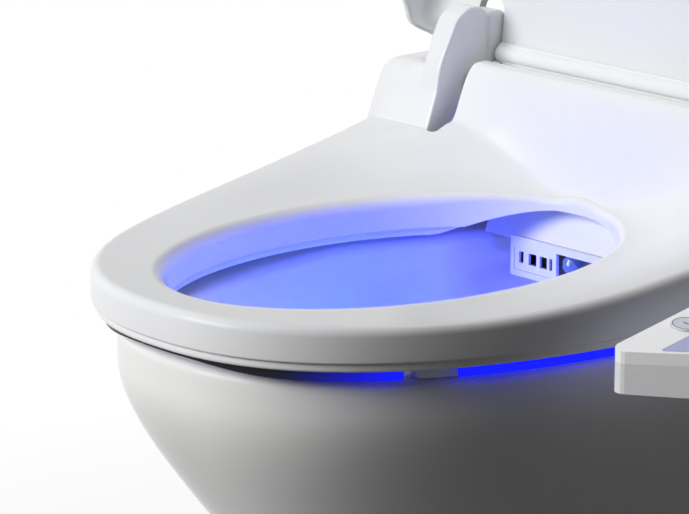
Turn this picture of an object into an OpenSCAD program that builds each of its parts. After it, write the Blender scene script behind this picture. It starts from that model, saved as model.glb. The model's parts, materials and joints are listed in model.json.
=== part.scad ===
// Floor-standing toilet with an electronic bidet seat.
// Millimetres. +Z is up and -Y is the front. The origin is the centre of the waste outlet at floor level.
// The seat, the lid and the unit are drawn from the seat datum: x across, s back from the seat's front tip
// and h up from the flat top of the seat's front.

/* [Pan] */
// Height of the ceramic rim above the floor
rim_h = 400; // [390:5:430]
// Width of the pan at the rim
pan_w = 350; // [340:2:360]
// Distance from the waste outlet forward to the rim's front
pan_front = 407; // [400:1:430]
// Distance from the waste outlet back to the wall
pan_back = 180; // [170:5:220]
// Length of the rim's rounded front
pan_nose = 313; // [290:1:325]
// Height of the upright band under the rim's edge
rim_band = 25; // [15:1:35]
// Rounding of the rim's outer edge
rim_r = 6; // [3:0.5:8]
// Width of the bowl's mouth
bowl_w = 244; // [230:2:250]
// Thickness of the rim at its front
rim_front = 37; // [32:1:45]
// Depth from the rim to the bottom of the sump
bowl_d = 315; // [305:5:320]
// Distance from the waste outlet forward to the rear of the bowl's mouth
bowl_rear = 30; // [26:1:36]
// Width of the foot on the floor
foot_w = 226; // [220:2:260]
// Distance from the waste outlet forward to the toe of the foot
foot_front = 238; // [230:2:270]
// Thickness of the ceramic walls
wall = 16; // [12:1:20]
// Radius of the waste outlet
outlet_r = 51; // [45:1:55]
// Length of the waste outlet's socket
outlet_l = 60; // [40:5:70]
// Radius of the trap's two upright legs
trap_r = 27; // [26:0.5:28]
// Distance between the trap's legs
trap_gap = 80; // [78:1:84]
// Height of the trap's weir above the floor
weir_h = 193; // [185:1:200]
// Height of the way from the sump into the trap
sump_h = 107; // [105:1:112]
// Radius of the flush inlet's socket
inlet_r = 27.5; // [24:0.5:29]
// Height of the flush inlet above the floor
inlet_h = 325; // [315:1:330]
// Length of the flush inlet's socket
inlet_l = 50; // [30:5:60]
// Thickness of the ceramic deck behind the bowl
deck_t = 45; // [30:5:45]

/* [Floor fixing] */
// Distance from the waste outlet back to the side screws
fix_y = 105; // [80:5:130]
// Height of the side screws above the floor
fix_h = 35; // [28:1:45]
// Thickness of the floor brackets
bracket_t = 5; // [3:0.5:6]
// Distance between the brackets' floor holes
bracket_gap = 130; // [120:2:140]
// Radius of the brackets' floor holes
floor_hole_r = 4.5; // [3:0.5:5]
// Radius of the side screws
side_screw_r = 3.5; // [2.5:0.5:4]

/* [Seat] */
// Width of the seat
seat_w = 380; // [370:2:384]
// How far the seat's front tip lies in front of the rim
seat_over = 15; // [10:1:20]
// Thickness of the seat at its front
seat_t = 27; // [24:0.5:32]
// Thickness of the seat's lower shell
seat_base_t = 5.5; // [4:0.5:7]
// Inset of the lower shell from the upper shell's outline
seat_base_in = 2.5; // [1:0.5:4]
// Length of the seat's rounded front
seat_nose = 328; // [300:1:340]
// Roundness power of the rounded fronts
nose_power = 2.33; // [2:0.01:2.5]
// Width of the seat's opening
opening_w = 218; // [200:2:224]
// Length of the seat's opening
opening_l = 316; // [300:1:318]
// Distance from the seat's tip back to its opening
opening_front = 33; // [30:1:36]
// Rounding of the seat's outer top edge
edge_r = 6; // [4:0.5:9]
// Rounding of the seat's edge at the opening
inner_r = 9; // [6:0.5:11]
// Distance from the seat's tip back to where its edge starts to rise
rise_start = 97; // [80:1:120]
// Length over which the seat's edge would rise by the rise height
rise_l = 333; // [320:1:360]
// Rise height of the seat's edge
rise_h = 52.5; // [40:0.5:54]
// Height of the rubber buffers under the seat
buffer_h = 9; // [7:0.5:12]
// Length of a rubber buffer
buffer_l = 32; // [24:1:36]
// Width of a rubber buffer
buffer_w = 14; // [10:1:16]
// Thickness of the heating foil
foil_t = 1; // [0.6:0.1:1.4]
// Height of the light guides under the seat
guide_h = 4.5; // [3:0.5:6]
// Width of the light guides
guide_w = 3; // [2:0.5:4]

/* [Hinge] */
// Distance from the seat's tip back to the hinge axis
hinge_s = 386; // [384:0.5:388]
// Height of the hinge axis above the seat's front top
hinge_h = 52; // [50:0.5:54]
// Radius of the roll at the seat's rear
roll_r = 16.5; // [14:0.5:17]
// Width of the roll at the seat's rear
roll_w = 254; // [240:2:256]
// Radius of the hinge pins
pin_r = 5; // [4:0.5:6]
// Length of the hinge pins
pin_l = 44; // [40:1:48]
// Radial running gap of the hinge pins
pin_gap = 0.05; // [0.02:0.01:0.1]

/* [Lid] */
// Width of the lid
lid_w = 412; // [408:1:416]
// How far the lid reaches in front of the seat
lid_over = 8; // [6:0.5:12]
// Distance from the hinge axis to the lid's inner face
lid_rise = 22; // [21:0.5:26]
// Thickness of the lid's plate
lid_t = 4; // [3:0.5:5]
// Thickness of the lid's turned-down wall
lid_wall = 3.5; // [3:0.25:4]
// Rounding between the lid's plate and its wall
lid_round = 16; // [12:1:18]
// Extra thickness at the lid's crown
lid_crown = 8; // [4:1:12]
// Downward slope of the closed lid
lid_slope = 9; // [8.5:0.25:9.5]
// Angle through which the lid opens
lid_open = 105; // [100:1:108]
// Gap between the closed lid's wall and the seat's edge
lid_gap = 1.5; // [1:0.5:3]
// Distance from the hinge axis to the lid's rear edge
lid_rear = 14; // [13:0.5:16]
// Rounding of the lid's rear corners
lid_corner = 26; // [20:1:30]
// Length of the slots that clear the fins
slot_l = 58; // [56:1:62]
// Clearance between a fin and its slot
slot_gap = 3; // [3:0.5:5]
// Thickness of the hinge ears on the lid
ear_t = 5.5; // [4:0.5:6]
// Radius of the lid's rubber pads
pad_r = 6; // [4:0.5:8]

/* [Unit] */
// Width of the unit over its end caps
unit_w = 392; // [388:1:394]
// Distance between the inner faces of the end caps
cap_gap = 274; // [272:0.5:278]
// Distance from the seat's tip back to the end caps
cap_front = 346; // [345:0.5:348]
// Gap between the seat and the end caps
cap_clear = 2.5; // [1.5:0.5:4]
// Distance from the seat's tip back to the unit's rear
unit_back = 512; // [505:1:525]
// Height of the end caps' shoulders above the datum
shoulder_h = 65.5; // [60:0.5:66]
// Height of the fins above the datum
fin_h = 103.5; // [98:0.5:104]
// Thickness of the fins
fin_t = 18; // [14:1:20]
// Height of the unit's rear cover above the datum
cover_h = 45; // [40:0.5:46]
// Thickness of the covers
skin_t = 3; // [2:0.25:3.5]
// Thickness of the mounting plate
plate_t = 5; // [4:0.5:6]
// Distance from the seat's tip back to the mounting bolts
bolt_s = 445; // [440:1:450]
// Distance between the mounting bolts
bolt_gap = 140; // [136:1:150]
// Radius of the mounting bolts
bolt_r = 4; // [3:0.5:5]
// Radius of the mounting holes in the ceramic
deck_hole_r = 7; // [6:0.5:8]
// Radius of the water inlet's thread
supply_r = 10.4; // [9:0.1:12]
// Length of the water inlet's thread
supply_l = 15; // [10:1:20]
// Radius of the power cord gland's bore
gland_r = 3.5; // [2.5:0.5:4.5]

/* [Spray bay] */
// Distance from the seat's tip back to the front of the spray bay
bay_s = 350; // [349:0.5:352]
// Width of the spray bay
bay_w = 124; // [120:1:130]
// Height of the air outlet's window
vent_h = 15; // [12:1:17]
// Width of the air outlet's window
vent_w = 36; // [30:1:38]
// Number of slots in the air outlet
vent_n = 6; // [4:1:8]
// Radius of a spray wand
wand_r = 7.5; // [6:0.5:8]
// Length of a spray wand
wand_l = 106; // [100:1:110]
// Distance between the two spray wands
wand_gap = 22; // [20:0.5:24]
// Slope of the spray wands
wand_slope = 32; // [31:0.5:34]
// Gap between a wand and its guide
wand_clear = 0.3; // [0.2:0.05:0.5]

/* [Panel] */
// Distance from the centre plane to the arm's inner side
arm_x = 211; // [210:0.5:214]
// Width of the arm
arm_w = 80; // [76:1:90]
// Distance from the seat's tip back to the arm's front
arm_s = 152.8; // [150:0.2:160]
// Slant of the arm's front end
arm_slant = 34.8; // [30:0.2:38]
// Slope of the arm's top towards its front
arm_slope = 9.8; // [9:0.2:11]
// Slope of the arm's top towards its outer side
arm_tilt = 4.8; // [3:0.2:6]
// Height of the arm's front top edge from the datum
arm_h = -12.8; // [-14:0.2:-12]
// Height of the arm's underside from the datum
arm_low = -37.2; // [-38:0.2:-36]
// Distance from the seat's tip back to the arm's rear
arm_back = 496; // [480:1:505]
// Thickness of the arm's top cover
arm_t = 7; // [6:0.5:7.5]
// Length of an oval button
oval_l = 18; // [16:0.5:18]
// Width of an oval button
oval_w = 15; // [12:0.5:16]
// Radius of a round button
round_r = 7; // [5:0.5:8]
// Travel of a button
travel = 1; // [0.6:0.1:1.2]
// Gap round a button
button_gap = 0.35; // [0.3:0.05:0.6]
// How far a button stands out of the cover
button_up = 1.2; // [1:0.1:1.6]

/* [Hidden] */
$fn = 64;

// Height of the seat datum above the floor, and its distance behind the waste outlet
datum_z = rim_h + buffer_h + seat_t;
datum_y = -(pan_front + seat_over);
// Levels below the datum
seat_low = -seat_t;
seam = seat_low + seat_base_t;
rim_level = seat_low - buffer_h;
plate_top = rim_level + plate_t;
tray_top = plate_top + skin_t;
// A small face gap between pieces of one body
seat_gap = 0.3;
eps = 0.01;

seat_half = seat_w / 2;
roll_half = roll_w / 2;
roll_top = hinge_h + roll_r;
seat_rear = hinge_s + roll_r;
notch_s = cap_front - cap_clear;
opening_mid = opening_front + opening_l / 2;
cap_in = cap_gap / 2;
unit_half = unit_w / 2;
lid_half = lid_w / 2;
lid_l = (hinge_s + lid_over) / cos(lid_slope);
lean = lid_open - 90 - lid_slope;
nose_n = 14;
pan_nose_n = 16;

function smooth(t) = let(c = max(0, min(1, t))) c * c * (3 - 2 * c);
function mix(a, b, t) = a + (b - a) * t;
function unit_vector(v) = v / norm(v);
function nose_point(a, half, length, power) = [half * pow(sin(a), 2 / power), -length * pow(cos(a), 2 / power)];

// The whole outline, from its right half that runs from the front tip to the middle of the back
function whole(half) = concat(half, [for (i = [len(half) - 2 : -1 : 1]) [-half[i][0], half[i][1]]]);

// Outward normals of a closed outline that runs anticlockwise
function normals(path) = let(n = len(path)) [for (i = [0 : n - 1])
    let(d = path[(i + 1) % n] - path[(i + n - 1) % n]) unit_vector([d[1], -d[0]])];

// A corner of a rounded polygon: a and c are its neighbours and b is [x, y, radius]
function corner(a, b, c) = let(
    p = [b[0], b[1]],
    u = unit_vector([a[0], a[1]] - p),
    v = unit_vector([c[0], c[1]] - p),
    half = acos(max(-1, min(1, u * v))) / 2,
    m = p + unit_vector(u + v) * b[2] / sin(half),
    p1 = p + u * b[2] / tan(half) - m,
    p2 = p + v * b[2] / tan(half) - m,
    a1 = atan2(p1[1], p1[0]),
    turn = (atan2(p2[1], p2[0]) - a1 + 540) % 360 - 180)
    b[2] == 0 ? [p] : [for (i = [0 : 6]) m + b[2] * [cos(a1 + turn * i / 6), sin(a1 + turn * i / 6)]];
function rounded(points) = let(n = len(points)) [for (i = [0 : n - 1])
    each corner(points[(i + n - 1) % n], points[i], points[(i + 1) % n])];

// A closed solid through rings of points. The rings run anticlockwise seen from above and go
// up the outside of the solid. A closed row of rings makes a loop, an open one gets end faces.
module skin(rings, closed = false) {
    n = len(rings[0]);
    m = len(rings);
    points = [for (r = rings) each r];
    middle = [for (r = [rings[0], rings[m - 1]]) [for (k = [0 : 2]) [for (p = r) p[k]] * [for (p = r) 1 / n]]];
    sides = [for (k = [0 : closed ? m - 1 : m - 2], j = [0 : n - 1], h = [0, 1])
        let(a = k * n, b = ((k + 1) % m) * n, i = (j + 1) % n)
        h == 0 ? [a + j, b + j, b + i] : [a + j, b + i, a + i]];
    ends = closed ? [] : [for (j = [0 : n - 1], h = [0, 1]) let(i = (j + 1) % n, b = (m - 1) * n)
        h == 0 ? [m * n, j, i] : [m * n + 1, b + i, b + j]];
    polyhedron(points = closed ? points : concat(points, middle), faces = concat(sides, ends));
}

// Moves children from the seat datum to the part's frame
module on_datum() {
    translate([0, datum_y, datum_z]) children();
}

// Extrudes a side view, drawn as [s, h], from x0 to x1
module across(x0, x1) {
    translate([x0, 0, 0]) rotate([90, 0, 90]) linear_extrude(x1 - x0) children();
}

module box(low, high) {
    translate(low) cube(high - low);
}

// Pan
function pan_half(half, front, nose_l, back, back_half, round_r) = concat(
    [for (i = [0 : pan_nose_n]) let(p = nose_point(90 * i / pan_nose_n, half, nose_l, nose_power))
        [p[0], front + nose_l + p[1]]],
    [for (i = [1 : 3]) [mix(half, back_half, smooth(i / 3)), mix(front + nose_l, back - round_r, i / 3)]],
    [for (i = [1 : 4]) [back_half - round_r * (1 - cos(22.5 * i)), back - round_r * (1 - sin(22.5 * i))]],
    [[0, back]]);
// Share of the taper from the rim to the foot that is reached at height z
function taper(z) = let(drop = max(0, rim_h - rim_band - z)) 1 - exp(-pow(drop / 170, 1.6));
function pan_half_w(z) = pan_w / 2 - (pan_w - foot_w) / 2 * taper(z) / taper(0);
function pan_ring(z, inset) = let(
    front = -pan_front + (pan_front - foot_front) * taper(z) / taper(0) + inset,
    half = pan_half_w(z) - inset)
    [for (p = whole(pan_half(half, front, pan_nose * mix(1, 0.72, taper(z)), pan_back - inset, half, 24)))
        [p[0], p[1], z]];
function bowl_ring(q, inset) = let(
    z = rim_h - bowl_d * q,
    half = mix(28, bowl_w / 2, 1 - pow(q, 1.9)) + inset,
    front = mix(-pan_front + rim_front, -216, pow(q, 1.5)) - inset,
    back = mix(-bowl_rear, -trap_gap - trap_r - 43, 1 - pow(1 - max(0, q - 0.075) / 0.925, 2.5)) + inset)
    [for (p = whole(pan_half(half, front, mix(195, 40, pow(q, 1.3)), back, half * 0.8, half * 0.45)))
        [p[0], p[1], z]];
function cavity_ring(z, shrink) = let(half = foot_w / 2 - wall - shrink)
    [for (p = whole(pan_half(half, -foot_front + wall + 6 + shrink, 120, -outlet_r - wall - shrink, half, 20)))
        [p[0], p[1], z]];

// The waterway from the sump up a leg, over the weir and down into the outlet
module trapway() {
    way_r = trap_r - 2;
    way_h = weir_h + way_r;
    inlet_way_r = trap_r - 5;
    translate([0, 0, -1]) cylinder(r = outlet_r, h = outlet_l + 1);
    translate([0, 0, outlet_l - eps]) cylinder(r = trap_r, h = way_h + way_r + 5 - outlet_l);
    translate([0, 0, way_h]) rotate([90, 0, 0]) cylinder(r = way_r, h = trap_gap);
    translate([0, -trap_gap, sump_h - inlet_way_r - 3]) cylinder(r = trap_r, h = way_h + way_r + 8 - sump_h + inlet_way_r);
    translate([0, -trap_gap, sump_h]) rotate([90, 0, 0]) cylinder(r = inlet_way_r, h = trap_gap + 12);
}

// Open chambers at the pan's rear, beside and behind the trap
module rear_chambers() {
    side_out = foot_w / 2 - wall;
    for (side = [0, 1]) mirror([side, 0, 0]) {
        box([44, outlet_r + wall, -1], [side_out, pan_back + 1, rim_h - deck_t]);
        box([44, -8, outlet_l + wall], [side_out, outlet_r + wall + eps, rim_h - deck_t]);
    }
    box([-44 - eps, outlet_r + wall, -1], [44 + eps, pan_back + 1, inlet_h - inlet_r - wall]);
}

cavity_h = sump_h - trap_r - wall - 9;
module pan() {
    low = [0, 10, 50, 95, 140, 180, 215, 245, 272, 298, 322, 346];
    rings = concat(
        [cavity_ring(cavity_h, 20), cavity_ring(cavity_h * 0.86, 8), cavity_ring(cavity_h * 0.6, 2), cavity_ring(0, 0)],
        [for (z = low) pan_ring(z, 0)],
        [pan_ring(rim_h - rim_band, 0), pan_ring(rim_h - rim_r, 0), pan_ring(rim_h - rim_r * 0.3, rim_r * 0.3),
            pan_ring(rim_h, rim_r)],
        [for (p = [[0, 7], [0.008, 2], [0.03, 0]]) bowl_ring(p[0], p[1])],
        [for (q = [0.075, 0.13, 0.2, 0.3, 0.4, 0.5, 0.6, 0.7, 0.79, 0.87, 0.94, 0.98]) bowl_ring(q, 0)],
        [bowl_ring(1, -12)]);
    color("white") difference() {
        skin(rings);
        trapway();
        rear_chambers();
        translate([0, pan_back + 1, inlet_h]) rotate([90, 0, 0]) cylinder(r = inlet_r, h = inlet_l + 1);
        box([-18, -bowl_rear - 68, inlet_h - 17], [18, pan_back - inlet_l + eps, inlet_h + 17]);
        for (side = [-1, 1]) {
            translate([side * bolt_gap / 2, datum_y + bolt_s, rim_h - deck_t - 1])
                cylinder(r = deck_hole_r, h = deck_t + 2);
            translate([0, fix_y, fix_h]) rotate([0, side * 90, 0]) {
                translate([0, 0, foot_w / 2 - wall - 1]) cylinder(r = side_screw_r + 0.7, h = 60);
                translate([0, 0, cap_seat]) cylinder(r = 9, h = 60);
            }
        }
    }
}

// Floor fixing
cap_seat = pan_half_w(fix_h) - 8;
screw_end = foot_w / 2 - wall - bracket_t - 6;
module floor_brackets() {
    out = foot_w / 2 - wall;
    color("silver") for (side = [-1, 1]) mirror([side < 0 ? 1 : 0, 0, 0]) difference() {
        union() {
            box([out - bracket_t, fix_y - 25, 0], [out, fix_y + 25, fix_h + 20]);
            box([bracket_gap / 2 - 14, fix_y - 25, 0], [out, fix_y + 25, bracket_t]);
        }
        translate([bracket_gap / 2, fix_y, -1]) cylinder(r = floor_hole_r, h = bracket_t + 2);
        translate([out - bracket_t - 1, fix_y, fix_h]) rotate([0, 90, 0])
            cylinder(r = side_screw_r + 0.3, h = bracket_t + 2);
    }
}

module side_screws() {
    color("silver") for (side = [-1, 1]) translate([0, fix_y, fix_h]) rotate([0, side * 90, 0]) {
        translate([0, 0, screw_end]) cylinder(r = side_screw_r, h = cap_seat - screw_end + eps);
        translate([0, 0, cap_seat]) cylinder(r = 6.5, h = 2.6);
    }
}

module screw_caps() {
    color("white") for (side = [-1, 1]) translate([0, fix_y, fix_h]) rotate([0, side * 90, 0]) {
        translate([0, 0, cap_seat + 2.6]) cylinder(r = 8.7, h = 5.2);
        translate([0, 0, cap_seat + 7.8]) cylinder(r1 = 8.7, r2 = 7.2, h = 0.8);
    }
}

// Seat outline, right half, as [x, s]
function seat_path() = concat(
    [for (i = [0 : nose_n]) let(p = nose_point(90 * i / nose_n, seat_half, seat_nose, nose_power))
        [p[0], seat_nose + p[1]]],
    [for (t = [0.5, 1]) [seat_half, mix(seat_nose, notch_s, t)]],
    [for (t = [1 / 3, 2 / 3, 1]) [mix(seat_half, roll_half, t), notch_s]],
    [for (t = [0.27, 0.5, 0.72, 0.88, 1]) [roll_half, mix(notch_s, seat_rear, t)]],
    [for (t = [0.2, 0.47, 0.73, 1]) [roll_half * (1 - t), seat_rear]]);
seat_outline = whole(seat_path());
seat_normals = normals(seat_outline);
opening_outline = [for (i = [0 : 71]) [opening_w / 2 * sin(5 * i), opening_mid - opening_l / 2 * cos(5 * i)]];

// Where the ray from the opening's middle to p crosses the opening's edge
function opening_point(p) = let(d = unit_vector([p[0], p[1] - opening_mid]))
    [0, opening_mid] + d / norm([d[0] / (opening_w / 2), d[1] / (opening_l / 2)]);

function edge_rise(s) = rise_h * pow(max(0, s - rise_start) / rise_l, 2);
// Height of the ramp up to the roll, which starts later towards the middle
function ramp_start(x) = mix(notch_s, notch_s + 8, smooth((110 - abs(x)) / 60));
function ramp(x, s) = roll_top * smooth((s - ramp_start(x)) / (hinge_s - ramp_start(x) - 6));
// Height of the seat's top at s, where w is 0 at the opening's edge and 1 at the outer edge
function seat_top_h(x, s, w) = s > hinge_s
    ? hinge_h + sqrt(max(0, pow(roll_r, 2) - pow(s - hinge_s, 2)))
    : pow(pow(edge_rise(s) * smooth(w / 0.85), 4) + pow(ramp(x, s), 4), 0.25);
// Height of the upper shell's underside
function seat_low_h(x, s, w) = s > hinge_s
    ? hinge_h - sqrt(max(0, pow(roll_r, 2) - pow(s - hinge_s, 2)))
    : let(
        start = notch_s - 20 * (1 - smooth((abs(x) - 100) / 27)),
        end = hinge_s - roll_r)
        min(mix(seam, hinge_h - roll_r, smooth((s - start) / (end - start))), seat_top_h(x, s, w) - 7);

function on_roll(p) = p[1] > seat_rear - eps;
function on_end(p) = abs(p[0]) < roll_half + eps && p[1] > notch_s + eps && !on_roll(p);
function is_corner(p) = on_roll(p) && abs(p[0]) > roll_half - eps;
function outer_r(p) = is_corner(p) ? roll_r - 1.5 : on_roll(p) ? roll_r - 0.3 : on_end(p) ? 1.5
    : p[1] > notch_s - eps ? 3 : edge_r;
function lower_r(p) = is_corner(p) ? roll_r - 1.5 : on_roll(p) ? roll_r - 0.3 : 1.5;

// Ring k of the upper shell: 0 to 3 under the outer edge, 4 to 8 over it, 9 to 15 across the top,
// 16 to 20 into the opening and 21 to 24 across the underside
function share(p, inner, outer) = norm(p - inner) / norm(outer - inner);
function seat_point(k, outer, n) = let(
    inner = opening_point(outer),
    d = unit_vector(outer - inner),
    r = mix(inner_r, 5, smooth((inner[1] - opening_mid - 90) / 50)),
    low_in = outer - n * lower_r(outer),
    top_in = outer - n * outer_r(outer),
    lip = inner + d * r,
    a = k < 4 ? 30 * k : k < 9 ? 22.5 * (k - 4) : 22.5 * (k - 16),
    low_z = seat_low_h(low_in[0], low_in[1], share(low_in, inner, outer)),
    top_z = seat_top_h(top_in[0], top_in[1], share(top_in, inner, outer)),
    lip_z = seat_top_h(lip[0], lip[1], share(lip, inner, outer)),
    t = k < 16 ? (k - 8) / 8 : (k - 20) / 5,
    p = k < 4 ? low_in + n * lower_r(outer) * sin(a)
        : k < 9 ? top_in + n * outer_r(outer) * cos(a)
        : k < 16 ? mix(top_in, lip, t)
        : k < 20 ? lip - d * r * sin(a)
        : k == 20 ? inner
        : mix(inner, low_in, t),
    w = share(p, inner, outer),
    z = k < 4 ? low_z + lower_r(outer) * (1 - cos(a))
        : k < 9 ? top_z - outer_r(outer) * (1 - sin(a))
        : k < 16 ? seat_top_h(p[0], p[1], w)
        : k < 20 ? lip_z - r * (1 - cos(a))
        : seat_low_h(p[0], p[1], w))
    [p[0], p[1], z];

module seat_top() {
    rings = [for (k = [0 : 24]) [for (j = [0 : len(seat_outline) - 1])
        seat_point(k, seat_outline[j], seat_normals[j])]];
    color("white") on_datum() difference() {
        skin(rings, closed = true);
        for (side = [-1, 1]) translate([side * (roll_half + 1), hinge_s, hinge_h]) rotate([0, -side * 90, 0])
            cylinder(r = pin_r + pin_gap, h = pin_hole + 1);
    }
}
// Depth of the pin's hole in the roll, and the pin's inner end
pin_end = cap_in + 14 - pin_l;
pin_hole = roll_half - pin_end + 1;

// The seat's outline, moved in by inset and cut off square at the ends of the lower shell
base_end = notch_s - 21;
module horseshoe(inset, inner_inset, end) {
    difference() {
        polygon([for (j = [0 : len(seat_outline) - 1]) seat_outline[j] - seat_normals[j] * inset]);
        polygon([for (p = opening_outline) let(d = unit_vector(p - [0, opening_mid])) p + d * inner_inset]);
        translate([-seat_half, end]) square([seat_w, seat_w]);
    }
}

module seat_base() {
    color("white") on_datum() difference() {
        union() {
            translate([0, 0, seat_low + 1.5]) linear_extrude(seam - seat_low - 1.5) horseshoe(seat_base_in, 2, base_end);
            translate([0, 0, seat_low]) linear_extrude(1.5 + eps) horseshoe(seat_base_in + 1, 3, base_end - 1);
        }
        translate([0, 0, seam - foil_t]) linear_extrude(foil_t + 1) horseshoe(14, 9, base_end - 8);
    }
}

module seat_heater() {
    color("goldenrod") on_datum() translate([0, 0, seam - foil_t]) linear_extrude(foil_t)
        horseshoe(14.5, 9.5, base_end - 8.5);
}

// The point of the seat's outline at s on the right, its inset by d, and the direction along it
function outline_x(s) = seat_half * pow(1 - pow(max(0, 1 - s / seat_nose), nose_power), 1 / nose_power);
function along(s) = atan2(outline_x(s + 2) - outline_x(s - 2), 4);
function inset_point(s, d) = [outline_x(s) - d * cos(along(s)), s + d * sin(along(s))];
buffer_places = [96, 285];
buffer_in = 24;

module seat_buffers() {
    color("gainsboro") on_datum() for (side = [0, 1], s = buffer_places) mirror([side, 0, 0])
        translate(concat(inset_point(s, buffer_in), [rim_level + seat_gap])) rotate([0, 0, -along(s)])
            linear_extrude(buffer_h - seat_gap) {
                square([buffer_w, buffer_l - buffer_w], center = true);
                for (end = [-1, 1]) translate([0, end * (buffer_l - buffer_w) / 2]) circle(buffer_w / 2);
            }
}

guide_in = 8;
module light_guides() {
    spans = [[62, buffer_places[0] - 21], [buffer_places[0] + 21, buffer_places[1] - 21]];
    color("blue") on_datum() for (side = [0, 1], span = spans) mirror([side, 0, 0])
        translate([0, 0, seat_low - guide_h]) linear_extrude(guide_h) polygon(concat(
            [for (t = [0 : 0.125 : 1]) inset_point(mix(span[0], span[1], t), guide_in)],
            [for (t = [1 : -0.125 : 0]) inset_point(mix(span[0], span[1], t), guide_in + guide_w)]));
}

// Lid, drawn closed and level: u forward from the hinge axis and v up from it
function lid_half_path() = concat(
    [for (i = [0 : nose_n]) let(p = nose_point(90 * i / nose_n, lid_half, lid_nose, nose_power))
        [p[0], -lid_l + lid_nose + p[1]]],
    [for (t = [0.4, 1]) [lid_half, mix(-lid_l + lid_nose, -lid_rear - lid_corner, t)]],
    [for (i = [1 : 4]) [lid_half - lid_corner * (1 - cos(22.5 * i)), -lid_rear - lid_corner * (1 - sin(22.5 * i))]],
    [for (t = [0.5, 1]) [(lid_half - lid_corner) * (1 - t), -lid_rear]]);
lid_nose = seat_nose - 6;
lid_outline = whole(lid_half_path());
lid_normals = normals(lid_outline);
lid_mid = [0, -lid_l * 0.5];

// How far point j belongs to the lid's rear edge, which has no wall
function rear(j) = smooth((lid_half - abs(lid_outline[j][0])) / 8) * (lid_outline[j][1] > -lid_rear - lid_corner ? 1 : 0);
function round_at(j) = mix(lid_round, lid_t + 0.2, rear(j));
// Lower edge of the lid's wall at point j
function wall_low(j) = let(
    u = -lid_outline[j][1],
    s = hinge_s - u * cos(lid_slope),
    level = (edge_rise(s) + lid_gap - hinge_h + u * sin(lid_slope)) / cos(lid_slope))
    mix(mix(0, level, smooth((u - 34) / 34)), lid_rise - 0.4, rear(j));
function crown(p, j) = let(r = norm(p - lid_mid) / norm(lid_outline[j] - lid_mid)) lid_crown * (1 - r * r);

// Rings of the lid: round its inner and outer edges at angle a, at the wall's lower edge inset by d,
// and across its top and its inner face at share t of the way from the middle
function lid_inner_edge(a) = [for (j = [0 : len(lid_outline) - 1]) let(r = round_at(j) - lid_wall,
    p = lid_outline[j] - lid_normals[j] * (lid_wall + r * (1 - sin(a)))) [p[0], p[1], lid_rise - r * (1 - cos(a))]];
function lid_outer_edge(a) = [for (j = [0 : len(lid_outline) - 1]) let(r = round_at(j),
    p = lid_outline[j] - lid_normals[j] * r * (1 - cos(a))) [p[0], p[1], lid_rise + lid_t - r * (1 - sin(a))]];
function lid_low_ring(d) = [for (j = [0 : len(lid_outline) - 1])
    let(p = lid_outline[j] - lid_normals[j] * d) [p[0], p[1], wall_low(j)]];
function lid_top_ring(t) = [for (j = [0 : len(lid_outline) - 1])
    let(edge = lid_outline[j] - lid_normals[j] * round_at(j), p = mix(lid_mid, edge, t))
    [p[0], p[1], lid_rise + lid_t + crown(p, j) - crown(edge, j)]];
function lid_inner_ring(t) = [for (j = [0 : len(lid_outline) - 1])
    let(edge = lid_outline[j] - lid_normals[j] * round_at(j), p = mix(lid_mid, edge, t)) [p[0], p[1], lid_rise]];

// Swings the level, closed lid into its open rest position
module lid_pose() {
    on_datum() translate([0, hinge_s, hinge_h]) rotate([lid_slope - lid_open, 0, 0]) children();
}

// Cuts the slots in which the fins stand
module fin_slots(low) {
    slot_in = cap_in - slot_gap;
    slot_out = cap_in + fin_t + slot_gap;
    r = (slot_out - slot_in) / 2;
    for (side = [0, 1]) mirror([side, 0, 0]) translate([0, 0, low]) linear_extrude(60) {
        translate([slot_in, -slot_l + r]) square([2 * r, slot_l]);
        translate([slot_in + r, -slot_l + r]) circle(r);
    }
}

module lid_shell() {
    rings = concat(
        [lid_inner_ring(0.5), lid_inner_ring(1)],
        [for (a = [30, 60, 90]) lid_inner_edge(a)],
        [lid_low_ring(lid_wall), lid_low_ring(0)],
        [for (a = [0, 30, 60]) lid_outer_edge(a)],
        [for (t = [1, 0.8, 0.5, 0.2]) lid_top_ring(t)]);
    color("white") lid_pose() difference() {
        skin(rings);
        fin_slots(-20);
    }
}

// Hinge bar on the lid's inner face, with the ears that turn on the hinge pins
bar_half = cap_in - slot_gap - 1;
ear_out = cap_in - 2.5;
module lid_bar() {
    bead = 5.5;
    top = lid_rise - 0.7;
    color("white") lid_pose() difference() {
        union() {
            difference() {
                across(-bar_half, bar_half) {
                    polygon(rounded([[4, top - 2.7, 1.2], [4, top, 0.6], [-27, top, 0.6], [-27, top - 2, 1],
                        [-20, top - 2.7, 2]]));
                    translate([-20, top - 0.4]) circle(bead);
                }
                box([-bar_half - 1, -40, top], [bar_half + 1, 20, top + 20]);
            }
            for (side = [-1, 1]) across(side * ear_out - (side > 0 ? ear_t : 0), side * ear_out + (side > 0 ? 0 : ear_t)) {
                circle(9);
                polygon([[-9, 0], [9, 0], [4, top - 0.5], [-16, top - 0.5]]);
            }
        }
        translate([-bar_half - 4, 0, 0]) rotate([0, 90, 0]) cylinder(r = pin_r + pin_gap, h = 2 * bar_half + 8);
    }
}

// Rubber pads near the lid's front that meet the seat's flat front
pad_x = 60;
pad_u = lid_l - 38;
module lid_pads() {
    closed_h = hinge_h + lid_rise * cos(lid_slope) - pad_u * sin(lid_slope);
    color("gainsboro") lid_pose() for (side = [-1, 1]) difference() {
        translate([side * pad_x, -pad_u, lid_rise - closed_h / cos(lid_slope) - 3])
            cylinder(r = pad_r, h = closed_h / cos(lid_slope) + 3);
        rotate([-lid_slope, 0, 0]) translate([0, 0, -hinge_h + seat_gap - 40])
            box([-100, -lid_l - 50, -30], [100, 0, 40]);
    }
}

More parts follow.
